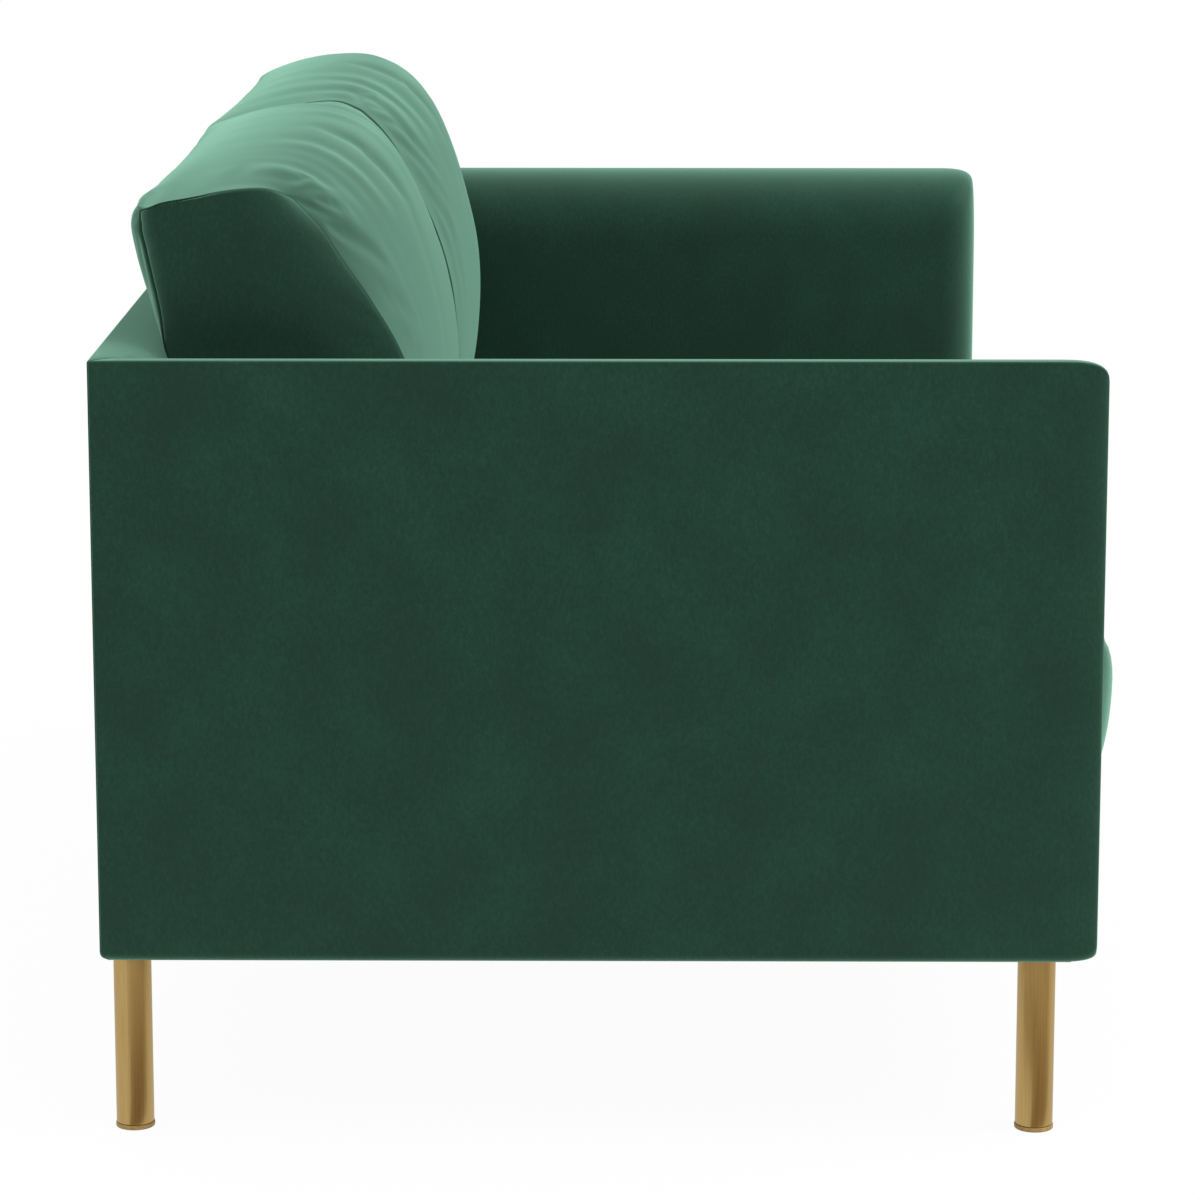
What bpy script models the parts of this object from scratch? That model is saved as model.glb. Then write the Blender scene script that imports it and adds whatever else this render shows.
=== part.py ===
"""Two-seater sofa with slim arms, loose cushions and tube legs, as an assembly of separate pieces.

Metres, +Z up. The front faces -Y, and left is -X, as seen from the front. The origin is on the floor,
under the middle of the footprint. In the two arms and the back, sizes run inwards from the outer face:
that distance is called "inward" below.
"""

import math

import bmesh
import bpy
from mathutils import Matrix, Vector

# Overall sizes
WIDTH = 1.520
FRAME_DEPTH = 0.870
ARM_HEIGHT = 0.694
LEG_HEIGHT = 0.163
SEAT_OVERHANG = 0.035

# Gap that two touching pieces keep
GAP = 0.0004

# Upholstered arms and back
WALL_THICK = 0.088
ROLL_HEIGHT = 0.080
FRONT_ROLL = 0.042
FRONT_DROP = 0.007
FRONT_EDGE = 0.004
OUTER_SKIN = 0.006
INNER_FOAM = 0.020
TOP_FOAM = 0.055
FRONT_FOAM = 0.022
BORDER_RECESS = 0.008
BORDER_EDGE = 0.004
ROLL_STEPS = 8
FRONT_STEPS = 4

# Timber frame
OUTER_BOARD = 0.003
INNER_BOARD = 0.005
POST_DEPTH = 0.045
TOP_RAIL_HEIGHT = 0.028
BOTTOM_RAIL_HEIGHT = 0.040
RAIL_THICK = 0.028
RAIL_HEIGHT = 0.086
CENTRE_RAIL_DROP = 0.012
WEBBING_THICK = 0.002
WEBBING_WIDTH = 0.050
WEBBING_STRAPS = 3
WEBBING_UPRIGHTS = 4

# Seat suspension
SPRINGS_PER_SEAT = 4
SPRING_RUNS = 9
SPRING_STRAIGHT = 0.024
WIRE_RADIUS = 0.0019
TIE_RADIUS = 0.0012
TIE_RISE = 0.0008
TIE_OVERRUN = 0.006
TIE_GAP = 2
CLIP_SHEET = 0.0012
CLIP_TAIL = 0.010
CLIP_TOE = 0.006
DECK_PAD = 0.008
DUST_SHEET = 0.0015

# Fasteners
BOLT_RADIUS = 0.004
BOLT_HEAD_RADIUS = 0.0072
BOLT_HEAD_HEIGHT = 0.0053
BOLT_BITE = 0.030
BOLT_CLEARANCE = 0.0004
BOLT_SIDES = 8

# Legs
LEG_RADIUS = 0.0167
LEG_WALL = 0.0018
LEG_CAP = 0.004
LEG_SIDES = 20
LEG_FROM_SIDE = 0.045
LEG_FROM_FRONT = 0.0484
LEG_FROM_BACK = 0.0233
GLIDE_RIM = 0.0006
GLIDE_HEIGHT = 0.004
GLIDE_PLUG = 0.012
STUD_RADIUS = 0.005
STUD_LENGTH = 0.022
LEG_HOLE_CLEARANCE = 0.002

# Loose cushions
CUSHION_GAP = 0.003
CUSHION_SIDE_GAP = 0.0015
CUSHION_EDGE = 0.016
CUSHION_DRAW_IN = 0.007
CUSHION_DISH = 0.014
CUSHION_STATIONS = 11
CROWN_POWER = 2.4
COVER_WALL = 0.010
CORE_GAP = 0.0008
FILLING_STATIONS = 7
ZIP_LENGTH = 0.420
ZIP_WIDTH = 0.008
ZIP_DEPTH = 0.004
ZIP_RISE = 0.055

# Seat cushions
SEAT_THICK = 0.150
SEAT_CROWN = 0.018
SEAT_SIDE_OVERHANG = 0.014
SEAT_FRONT_ROUND = 0.050
SEAT_FRONT_POWER = 2.6
SEAT_FRONT_STEPS = 8
SEAT_TOP_STEPS = 7
SEAT_REAR_ROUND = 0.020
SEAT_REAR_GAP = 0.001

# Back cushions, with heights above the arms and depths forward of the back's inner face
BACK_CUSHION_RISE = 0.172
BACK_CUSHION_SIDE_RISE = 0.136
BACK_CUSHION_DEPTH = 0.197
BACK_CUSHION_CREST = 0.047
BACK_CUSHION_FLOP = 0.070
BACK_CUSHION_SHOULDER = 0.060
BACK_CUSHION_BELLY = 0.105
BACK_CUSHION_TUCK = 0.045
BACK_CUSHION_ROUND = 0.030
BACK_CUSHION_POWER = 2.5
BACK_CUSHION_SIDE_POWER = 1.7
BACK_CUSHION_REAR_POWER = 5
BACK_CUSHION_REAR_GAP = 0.0025
BACK_CUSHION_ROLL_ANGLES = (33, 66)
BACK_FRONT_STEPS = 7

# Places worked out from the sizes above
Y_BACK = (FRAME_DEPTH + SEAT_OVERHANG) / 2
Y_FRONT = Y_BACK - FRAME_DEPTH
X_OUT = WIDTH / 2
X_IN = X_OUT - WALL_THICK
Y_IN = Y_BACK - WALL_THICK

# Inward distances: outer board, timber, inner board and foam, one after the other
BOARD_FROM = OUTER_SKIN + GAP
TIMBER_FROM = BOARD_FROM + OUTER_BOARD + GAP
ARM_CAVITY = WALL_THICK - INNER_FOAM
INNER_BOARD_FROM = ARM_CAVITY - GAP - INNER_BOARD
TIMBER_TO = INNER_BOARD_FROM - GAP
BASE_FROM = TIMBER_TO + GAP
WEBBING_FROM = TIMBER_TO + GAP
BACK_CAVITY = WEBBING_FROM + WEBBING_THICK + GAP
X_SIDE_IN = X_OUT - BASE_FROM - RAIL_THICK
Y_FRAME = Y_FRONT + FRONT_FOAM + GAP

# Heights, from the underside up to the seat
DUST_FROM = LEG_HEIGHT + GAP
BASE_FROM_Z = DUST_FROM + DUST_SHEET + GAP
BASE_TOP = BASE_FROM_Z + RAIL_HEIGHT
LEG_TOP = BASE_FROM_Z
ARM_FRAME_Z = LEG_TOP + GAP
BOTTOM_RAIL_TOP = ARM_FRAME_Z + BOTTOM_RAIL_HEIGHT
CAVITY_TOP = ARM_HEIGHT - TOP_FOAM
TOP_RAIL_FROM = CAVITY_TOP - GAP - TOP_RAIL_HEIGHT
WIRE_Z = BASE_TOP + GAP + CLIP_SHEET + GAP + WIRE_RADIUS
PAD_FROM = WIRE_Z + WIRE_RADIUS + GAP + CLIP_SHEET + GAP
DECK_TOP = PAD_FROM + DECK_PAD
SEAT_FROM = DECK_TOP + GAP
SEAT_EDGE_TOP = SEAT_FROM + SEAT_THICK
SEAT_REST = SEAT_EDGE_TOP + SEAT_CROWN
BOLT_Z = ARM_FRAME_Z + BOTTOM_RAIL_HEIGHT / 2

SIDES = {"left": -1, "right": 1}


def clear_scene():
    for obj in list(bpy.data.objects):
        bpy.data.objects.remove(obj)


def make_material(name, colour, roughness, metallic=0.0):
    material = bpy.data.materials.new(name)
    material.use_nodes = True
    shader = material.node_tree.nodes["Principled BSDF"]
    shader.inputs["Base Color"].default_value = (*colour, 1.0)
    shader.inputs["Roughness"].default_value = roughness
    shader.inputs["Metallic"].default_value = metallic
    material.diffuse_color = (*colour, 1.0)
    return material


def add_empty(name, place, parent=None):
    empty = bpy.data.objects.new(name, None)
    bpy.context.scene.collection.objects.link(empty)
    empty.location = place
    empty.parent = parent
    return empty


def add_object(name, data, material, body):
    """Links a mesh whose points are in the sofa's frame, with its origin moved to its body's empty."""
    data.transform(Matrix.Translation(-body.location))
    data.materials.append(material)
    obj = bpy.data.objects.new(name, data)
    bpy.context.scene.collection.objects.link(obj)
    obj.parent = body
    return obj


def add_mesh(name, shape, material, body, smooth_angle=None):
    bmesh.ops.recalc_face_normals(shape, faces=shape.faces)
    mesh = bpy.data.meshes.new(name)
    shape.to_mesh(mesh)
    shape.free()
    if smooth_angle is not None:
        mesh.shade_smooth()
        mesh.set_sharp_from_angle(angle=math.radians(smooth_angle))
    return add_object(name, mesh, material, body)


def cut(obj, name, shape, operation="DIFFERENCE"):
    """Cuts closed shapes that are clear of each other out of an object, or joins them to it."""
    bmesh.ops.recalc_face_normals(shape, faces=shape.faces)
    mesh = bpy.data.meshes.new(name)
    shape.to_mesh(mesh)
    shape.free()
    cutter = bpy.data.objects.new(name, mesh)
    bpy.context.scene.collection.objects.link(cutter)
    cutter.hide_render = True
    cutter.display_type = "WIRE"
    modifier = obj.modifiers.new(name, "BOOLEAN")
    modifier.operation = operation
    modifier.solver = "EXACT"
    modifier.object = cutter


def box_into(shape, low, high):
    """Adds a box between two corners."""
    low, high = Vector(low), Vector(high)
    matrix = Matrix.Translation((low + high) / 2) @ Matrix.Diagonal((*(high - low), 1.0))
    bmesh.ops.create_cube(shape, size=1.0, matrix=matrix)


def boxes(*corner_pairs):
    shape = bmesh.new()
    for low, high in corner_pairs:
        box_into(shape, low, high)
    return shape


def loft_into(shape, loops):
    """Skins closed loops of equal point counts and caps both ends."""
    rings = [[shape.verts.new(point) for point in loop] for loop in loops]
    for ring, following in zip(rings, rings[1:]):
        for i, vert in enumerate(ring):
            j = (i + 1) % len(ring)
            shape.faces.new((vert, ring[j], following[j], following[i]))
    shape.faces.new(rings[0][::-1])
    shape.faces.new(rings[-1])


def lofted(loops):
    shape = bmesh.new()
    loft_into(shape, loops)
    return shape


def turned(rings, sides, x=0.0, y=0.0):
    """A round shape about an upright axis, through (radius, height) rings from its first end to its last."""
    angles = [2 * math.pi * i / sides for i in range(sides)]
    return lofted([[(x + r * math.cos(a), y + r * math.sin(a), z) for a in angles] for r, z in rings])


def rod_into(shape, radius, start, end, sides=BOLT_SIDES):
    """Adds a round bar between two points."""
    start, end = Vector(start), Vector(end)
    along = end - start
    turn = along.to_track_quat("Z", "Y").to_matrix().to_4x4()
    matrix = Matrix.Translation((start + end) / 2) @ turn
    bmesh.ops.create_cone(
        shape,
        cap_ends=True,
        segments=sides,
        radius1=radius,
        radius2=radius,
        depth=along.length,
        matrix=matrix,
    )


def bolt(under_head, tip):
    """A bolt with a round head behind under_head, and a shank from there to its tip."""
    under_head, tip = Vector(under_head), Vector(tip)
    turn = (tip - under_head).to_track_quat("Z", "Y").to_matrix().to_4x4()
    rings = [
        (BOLT_HEAD_RADIUS, -BOLT_HEAD_HEIGHT),
        (BOLT_HEAD_RADIUS, 0),
        (BOLT_RADIUS, 0),
        (BOLT_RADIUS, (tip - under_head).length),
    ]
    shape = turned(rings, BOLT_SIDES)
    bmesh.ops.transform(shape, matrix=Matrix.Translation(under_head) @ turn, verts=shape.verts)
    return shape


# Upholstered arms and back


def wall_outline(front_share=0.0):
    """Outline of an arm or the back as (inward, height): square outside, rolled over inside.

    front_share draws the outline in, from 0 in the wall's length to 1 at the very front of an arm.
    """
    outer = FRONT_EDGE * front_share
    inner = WALL_THICK - FRONT_ROLL * front_share
    top = ARM_HEIGHT - FRONT_DROP * front_share
    bottom = LEG_HEIGHT + FRONT_EDGE * front_share
    angles = [math.pi / 2 * i / ROLL_STEPS for i in range(ROLL_STEPS + 1)]
    roll = [(outer + (inner - outer) * math.sin(a), top - ROLL_HEIGHT * (1 - math.cos(a))) for a in angles]
    return [(outer, bottom), *roll, (inner, bottom)]


def cavity_outline(inner_face):
    """Room for the timber inside a wall, open below, with a step under the inner foam for the base."""
    beyond = WALL_THICK * 2
    below = LEG_HEIGHT / 2
    return [
        (OUTER_SKIN, below),
        (beyond, below),
        (beyond, PAD_FROM),
        (inner_face, PAD_FROM),
        (inner_face, CAVITY_TOP),
        (OUTER_SKIN, CAVITY_TOP),
    ]


def make_arm_cover(side, sign, material, body):
    """Velvet and foam over one arm: rounded at the front, mitred into the back behind."""
    loops = []
    for i in range(FRONT_STEPS + 1):
        angle = math.pi / 2 * i / FRONT_STEPS
        y = Y_FRONT + FRONT_ROLL * (1 - math.cos(angle))
        outline = wall_outline(1 - math.sin(angle))
        loops.append([(sign * (X_OUT - inward), y, z) for inward, z in outline])
    loops.append([(sign * (X_OUT - inward), Y_BACK - inward - GAP, z) for inward, z in wall_outline()])
    cover = add_mesh(f"{side}_arm_cover", lofted(loops), material, body, smooth_angle=40)
    ends = (Y_FRONT + FRONT_FOAM, Y_BACK + WALL_THICK)
    room = [[(sign * (X_OUT - e), y, z) for e, z in cavity_outline(ARM_CAVITY)] for y in ends]
    cut(cover, f"cut_{side}_arm_room", lofted(room))


def make_back_cover(material, body):
    """Velvet and foam over the back, mitred into both arms."""
    ends = SIDES.values()
    loops = [[(sign * (X_OUT - e), Y_BACK - e, z) for e, z in wall_outline()] for sign in ends]
    cover = add_mesh("back_cover", lofted(loops), material, body, smooth_angle=40)
    room = [[(sign * WIDTH, Y_BACK - e, z) for e, z in cavity_outline(BACK_CAVITY)] for sign in ends]
    cut(cover, "cut_back_room", lofted(room))


def make_front_border(material, body):
    """Padded strip across the front of the base, under the seat cushions."""
    half = X_IN - GAP
    shape = boxes(((-half, Y_FRONT + BORDER_RECESS, LEG_HEIGHT), (half, Y_FRONT + FRONT_FOAM, DECK_TOP)))
    border = add_mesh("front_border", shape, material, body)
    bevel = border.modifiers.new("soft_edges", "BEVEL")
    bevel.width = BORDER_EDGE
    bevel.segments = 2
    bevel.limit_method = "NONE"


# Timber frame of the arms and back


def arm_box(sign, inward, y, z):
    """Corners of a box in an arm, from three (from, to) pairs."""
    xs = sorted(sign * (X_OUT - e) for e in inward)
    return (xs[0], y[0], z[0]), (xs[1], y[1], z[1])


def leg_places():
    return {
        (end, side): (sign * (X_OUT - LEG_FROM_SIDE), y)
        for side, sign in SIDES.items()
        for end, y in (("front", Y_FRONT + LEG_FROM_FRONT), ("rear", Y_BACK - LEG_FROM_BACK))
    }


def arm_bolt_ys():
    return {"front": Y_FRONT + FRAME_DEPTH / 3, "rear": Y_BACK - FRAME_DEPTH / 3}


def make_arm_frame(side, sign, timber, board, body):
    """Two posts between a top and a bottom rail, with boards that back the velvet and the foam."""
    timber_band = (TIMBER_FROM, TIMBER_TO)
    y_rear = Y_BACK - TIMBER_FROM
    hole = BOLT_RADIUS + BOLT_CLEARANCE
    inner_x = sign * (X_OUT - TIMBER_TO)

    bottom = add_mesh(
        f"{side}_arm_bottom_rail",
        boxes(arm_box(sign, timber_band, (Y_FRAME, y_rear), (ARM_FRAME_Z, BOTTOM_RAIL_TOP))),
        timber,
        body,
    )
    holes = bmesh.new()
    depth = BOLT_BITE + GAP
    for y in arm_bolt_ys().values():
        rod_into(holes, hole, (inner_x - sign * depth, y, BOLT_Z), (inner_x + sign * depth, y, BOLT_Z))
    for (_, leg_side), (x, y) in leg_places().items():
        if leg_side == side:
            top = LEG_TOP + STUD_LENGTH + GAP
            rod_into(holes, STUD_RADIUS + BOLT_CLEARANCE, (x, y, LEG_HEIGHT), (x, y, top), sides=LEG_SIDES)
    cut(bottom, f"cut_{side}_bottom_rail_holes", holes)

    post_z = (BOTTOM_RAIL_TOP + GAP, TOP_RAIL_FROM - GAP)
    front_y = (Y_FRAME, Y_FRAME + POST_DEPTH)
    rear_y = (y_rear - POST_DEPTH, y_rear)
    add_mesh(f"{side}_arm_front_post", boxes(arm_box(sign, timber_band, front_y, post_z)), timber, body)
    add_mesh(f"{side}_arm_rear_post", boxes(arm_box(sign, timber_band, rear_y, post_z)), timber, body)

    full_y = (Y_FRAME, y_rear)
    top_z = (TOP_RAIL_FROM, TOP_RAIL_FROM + TOP_RAIL_HEIGHT)
    add_mesh(f"{side}_arm_top_rail", boxes(arm_box(sign, timber_band, full_y, top_z)), timber, body)

    outer_band = (BOARD_FROM, BOARD_FROM + OUTER_BOARD)
    outer_z = (ARM_FRAME_Z, CAVITY_TOP - GAP)
    add_mesh(f"{side}_arm_outer_board", boxes(arm_box(sign, outer_band, full_y, outer_z)), board, body)
    inner_band = (INNER_BOARD_FROM, INNER_BOARD_FROM + INNER_BOARD)
    inner_y = (Y_FRAME, Y_BACK - ARM_CAVITY - GAP)
    inner_z = (BASE_TOP + GAP, CAVITY_TOP - GAP)
    add_mesh(f"{side}_arm_inner_board", boxes(arm_box(sign, inner_band, inner_y, inner_z)), board, body)


def make_back_frame(timber, board, body):
    """Rails and posts between the arms, with a board behind them."""
    half = X_OUT - TIMBER_TO - GAP
    ys = (Y_BACK - TIMBER_TO, Y_BACK - TIMBER_FROM)
    hole = BOLT_RADIUS + BOLT_CLEARANCE

    bottom = add_mesh(
        "back_bottom_rail",
        boxes(((-half, ys[0], ARM_FRAME_Z), (half, ys[1], BOTTOM_RAIL_TOP))),
        timber,
        body,
    )
    holes = bmesh.new()
    depth = BOLT_BITE + GAP
    for x in back_bolt_xs().values():
        rod_into(holes, hole, (x, ys[0] - depth, BOLT_Z), (x, ys[0] + depth, BOLT_Z))
    cut(bottom, "cut_back_bottom_rail_holes", holes)

    add_mesh(
        "back_top_rail",
        boxes(((-half, ys[0], TOP_RAIL_FROM), (half, ys[1], TOP_RAIL_FROM + TOP_RAIL_HEIGHT))),
        timber,
        body,
    )
    post_z = (BOTTOM_RAIL_TOP + GAP, TOP_RAIL_FROM - GAP)
    spans = {
        "left": (-half, -half + POST_DEPTH),
        "centre": (-POST_DEPTH / 2, POST_DEPTH / 2),
        "right": (half - POST_DEPTH, half),
    }
    for place, (x_from, x_to) in spans.items():
        shape = boxes(((x_from, ys[0], post_z[0]), (x_to, ys[1], post_z[1])))
        add_mesh(f"back_post_{place}", shape, timber, body)

    board_half = X_OUT - TIMBER_FROM
    board_y = (Y_BACK - BOARD_FROM - OUTER_BOARD, Y_BACK - BOARD_FROM)
    shape = boxes(((-board_half, board_y[0], ARM_FRAME_Z), (board_half, board_y[1], CAVITY_TOP - GAP)))
    add_mesh("back_outer_board", shape, board, body)


def make_back_webbing(webbing, body):
    """Elastic straps across the back, woven together with uprights."""
    half = X_OUT - ARM_CAVITY - GAP
    ys = (Y_BACK - WEBBING_FROM - WEBBING_THICK, Y_BACK - WEBBING_FROM)
    zs = (BASE_TOP + GAP, TOP_RAIL_FROM + TOP_RAIL_HEIGHT)
    strap = WEBBING_WIDTH / 2
    across = []
    for i in range(WEBBING_STRAPS):
        z = zs[0] + (zs[1] - zs[0]) * (i + 1) / (WEBBING_STRAPS + 1)
        across.append(((-half, ys[0], z - strap), (half, ys[1], z + strap)))
    straps = add_mesh("back_webbing", boxes(*across), webbing, body)
    upright = []
    for i in range(WEBBING_UPRIGHTS):
        x = half * (2 * i + 1 - WEBBING_UPRIGHTS) / WEBBING_UPRIGHTS
        upright.append(((x - strap, ys[0] + GAP, zs[0]), (x + strap, ys[1] - GAP, zs[1])))
    cut(straps, "join_back_webbing_uprights", boxes(*upright), operation="UNION")


# Base frame and seat suspension


def back_bolt_xs():
    return {side: sign * X_SIDE_IN / 2 for side, sign in SIDES.items()}


def base_span():
    """Front and rear faces of the base frame."""
    return Y_FRAME, Y_BACK - BASE_FROM


def make_base_frame(timber, body):
    """Front, rear, side and centre rails."""
    y_from, y_to = base_span()
    half = X_SIDE_IN - GAP
    z = (BASE_FROM_Z, BASE_TOP)
    hole = BOLT_RADIUS + BOLT_CLEARANCE

    add_mesh("front_rail", boxes(((-half, y_from, z[0]), (half, y_from + RAIL_THICK, z[1]))), timber, body)
    rear = add_mesh("rear_rail", boxes(((-half, y_to - RAIL_THICK, z[0]), (half, y_to, z[1]))), timber, body)
    holes = bmesh.new()
    for x in back_bolt_xs().values():
        rod_into(holes, hole, (x, y_to - 2 * RAIL_THICK, BOLT_Z), (x, y_to + RAIL_THICK, BOLT_Z))
    cut(rear, "cut_rear_rail_holes", holes)

    for side, sign in SIDES.items():
        band = (BASE_FROM, BASE_FROM + RAIL_THICK)
        rail = add_mesh(f"{side}_side_rail", boxes(arm_box(sign, band, (y_from, y_to), z)), timber, body)
        holes = bmesh.new()
        for y in arm_bolt_ys().values():
            ends = [sign * (X_SIDE_IN - RAIL_THICK), sign * (X_SIDE_IN + 2 * RAIL_THICK)]
            rod_into(holes, hole, (ends[0], y, BOLT_Z), (ends[1], y, BOLT_Z))
        cut(rail, f"cut_{side}_side_rail_holes", holes)

    inside_y = (y_from + RAIL_THICK + GAP, y_to - RAIL_THICK - GAP)
    half = RAIL_THICK / 2
    shape = boxes(((-half, inside_y[0], z[0]), (half, inside_y[1], z[1] - CENTRE_RAIL_DROP)))
    add_mesh("centre_rail", shape, timber, body)


def spring_xs(sign):
    step = X_SIDE_IN / SPRINGS_PER_SEAT
    return [sign * step * (i + 0.5) for i in range(SPRINGS_PER_SEAT)]


def spring_span():
    """Where the first and last runs of a spring lie: over the middle of the front and rear rails."""
    y_from, y_to = base_span()
    return y_from + RAIL_THICK / 2, y_to - RAIL_THICK / 2


def spring_points(x_centre):
    """Zigzag wire: straight runs across, joined by half turns on alternate sides."""
    y_first, y_last = spring_span()
    pitch = (y_last - y_first) / (SPRING_RUNS - 1)
    half = SPRING_STRAIGHT / 2
    points = []
    for run in range(SPRING_RUNS):
        way = 1 if run % 2 == 0 else -1
        y = y_first + run * pitch
        points.append((x_centre - way * half, y))
        points.append((x_centre + way * half, y))
        if run < SPRING_RUNS - 1:
            for angle in (-math.pi / 5, math.pi / 5):
                turn = pitch / 2 * math.cos(angle)
                points.append((x_centre + way * (half + turn), y + pitch / 2 + pitch / 2 * math.sin(angle)))
    return points


def wire_loops(points):
    """Rings of a four-sided wire along a flat path at the springs' height."""
    path = [Vector(point) for point in points]
    loops = []
    for i, point in enumerate(path):
        before = (point - path[i - 1]).normalized() if i > 0 else None
        after = (path[i + 1] - point).normalized() if i < len(path) - 1 else None
        before, after = before or after, after or before
        along = before + after
        across = Vector((-along.y, along.x)) * WIRE_RADIUS / (1 + before.dot(after))
        loops.append([
            (point.x + across.x, point.y + across.y, WIRE_Z),
            (point.x, point.y, WIRE_Z + WIRE_RADIUS),
            (point.x - across.x, point.y - across.y, WIRE_Z),
            (point.x, point.y, WIRE_Z - WIRE_RADIUS),
        ])
    return loops


def make_springs(steel, body):
    """One set of zigzag springs for each seat, held side by side by two tie wires."""
    y_first, y_last = spring_span()
    pitch = (y_last - y_first) / (SPRING_RUNS - 1)
    reach = SPRING_STRAIGHT / 2 + pitch / 2 + TIE_OVERRUN
    for side, sign in SIDES.items():
        wires = bmesh.new()
        for x_centre in spring_xs(sign):
            loft_into(wires, wire_loops(spring_points(x_centre)))
        springs = add_mesh(f"{side}_seat_springs", wires, steel, body)
        ties = bmesh.new()
        xs = (min(spring_xs(sign)) - reach, max(spring_xs(sign)) + reach)
        for gap_from_end in (TIE_GAP, SPRING_RUNS - 2 - TIE_GAP):
            y = y_first + (gap_from_end + 0.5) * pitch
            rod_into(ties, TIE_RADIUS, (xs[0], y, WIRE_Z + TIE_RISE), (xs[1], y, WIRE_Z + TIE_RISE))
        cut(springs, f"join_{side}_tie_wires", ties, operation="UNION")


def make_spring_clips(steel, body):
    """Bent steel strips that hold the springs' end runs down on the front and rear rails."""
    reach = WIRE_RADIUS + GAP
    floor = -reach - CLIP_SHEET
    profile = [
        (-CLIP_TAIL, floor),
        (CLIP_TOE, floor),
        (CLIP_TOE, -reach),
        (-reach, -reach),
        (-reach, reach),
        (WIRE_RADIUS, reach),
        (WIRE_RADIUS, reach + CLIP_SHEET),
        (-reach - CLIP_SHEET, reach + CLIP_SHEET),
        (-reach - CLIP_SHEET, -reach),
        (-CLIP_TAIL, -reach),
    ]
    half = X_SIDE_IN - GAP
    for place, y, way in zip(("front", "rear"), spring_span(), (1, -1)):
        loops = [[(x, y + way * u, WIRE_Z + v) for u, v in profile] for x in (-half, half)]
        add_mesh(f"{place}_spring_clip", lofted(loops), steel, body)


def make_deck_and_dust_cover(felt, nonwoven, body):
    half = X_IN - GAP
    shape = boxes(((-half, Y_FRAME, PAD_FROM), (half, Y_IN - GAP, DECK_TOP)))
    add_mesh("deck_pad", shape, felt, body)

    half = X_OUT - OUTER_SKIN - GAP
    ys = (Y_FRAME, Y_BACK - OUTER_SKIN - GAP)
    shape = boxes(((-half, ys[0], DUST_FROM), (half, ys[1], DUST_FROM + DUST_SHEET)))
    cover = add_mesh("dust_cover", shape, nonwoven, body)
    holes = bmesh.new()
    for x, y in leg_places().values():
        radius = LEG_RADIUS + LEG_HOLE_CLEARANCE
        rod_into(holes, radius, (x, y, LEG_HEIGHT / 2), (x, y, BASE_TOP), sides=LEG_SIDES)
    cut(cover, "cut_dust_cover_holes", holes)


# Fasteners


def make_frame_bolts(steel, body):
    """Bolts through the base into the bottom rails of the arms and the back."""
    for side, sign in SIDES.items():
        for end, y in arm_bolt_ys().items():
            head = (sign * (X_SIDE_IN - GAP), y, BOLT_Z)
            tip = (sign * (X_OUT - TIMBER_TO + BOLT_BITE), y, BOLT_Z)
            add_mesh(f"arm_bolt_{end}_{side}", bolt(head, tip), steel, body, smooth_angle=40)
    for side, x in back_bolt_xs().items():
        head = (x, Y_BACK - BASE_FROM - RAIL_THICK - GAP, BOLT_Z)
        tip = (x, Y_BACK - TIMBER_TO + BOLT_BITE, BOLT_Z)
        add_mesh(f"back_bolt_{side}", bolt(head, tip), steel, body, smooth_angle=40)


# Legs


def make_legs(brass, plastic, body):
    """Capped tubes on plastic glides, each with a stud that screws up into the arm's bottom rail."""
    inside = LEG_RADIUS - LEG_WALL
    tube = [
        (inside, LEG_TOP - LEG_CAP),
        (inside, GLIDE_HEIGHT + GAP),
        (LEG_RADIUS, GLIDE_HEIGHT + GAP),
        (LEG_RADIUS, LEG_TOP),
        (STUD_RADIUS, LEG_TOP),
        (STUD_RADIUS, LEG_TOP + STUD_LENGTH),
    ]
    foot = [
        (LEG_RADIUS + GLIDE_RIM, 0),
        (LEG_RADIUS + GLIDE_RIM, GLIDE_HEIGHT),
        (inside - GAP, GLIDE_HEIGHT),
        (inside - GAP, GLIDE_HEIGHT + GLIDE_PLUG),
    ]
    for (end, side), (x, y) in leg_places().items():
        add_mesh(f"leg_{end}_{side}", turned(tube, LEG_SIDES, x, y), brass, body, smooth_angle=40)
        add_mesh(f"glide_{end}_{side}", turned(foot, LEG_SIDES, x, y), plastic, body, smooth_angle=40)


# Loose cushions


def cushion_span(sign):
    """Left and right faces of the cushions on one side."""
    xs = (CUSHION_GAP / 2, X_IN - CUSHION_SIDE_GAP)
    return tuple(sorted(sign * x for x in xs))


def fullness(share):
    """How full a cushion is: 1 in the middle of its width, 0 at its sides."""
    return 1 - min(abs(share), 1.0) ** CROWN_POWER


def rounded(centre, reach, power, start, end, steps):
    """Points on a rounded corner between two angles in degrees, squarer for a higher power."""
    points = []
    for i in range(steps + 1):
        angle = math.radians(start + (end - start) * i / steps)
        across, up = math.cos(angle), math.sin(angle)
        points.append((
            centre[0] + reach[0] * math.copysign(abs(across) ** (2 / power), across),
            centre[1] + reach[1] * math.copysign(abs(up) ** (2 / power), up),
        ))
    return points


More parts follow.
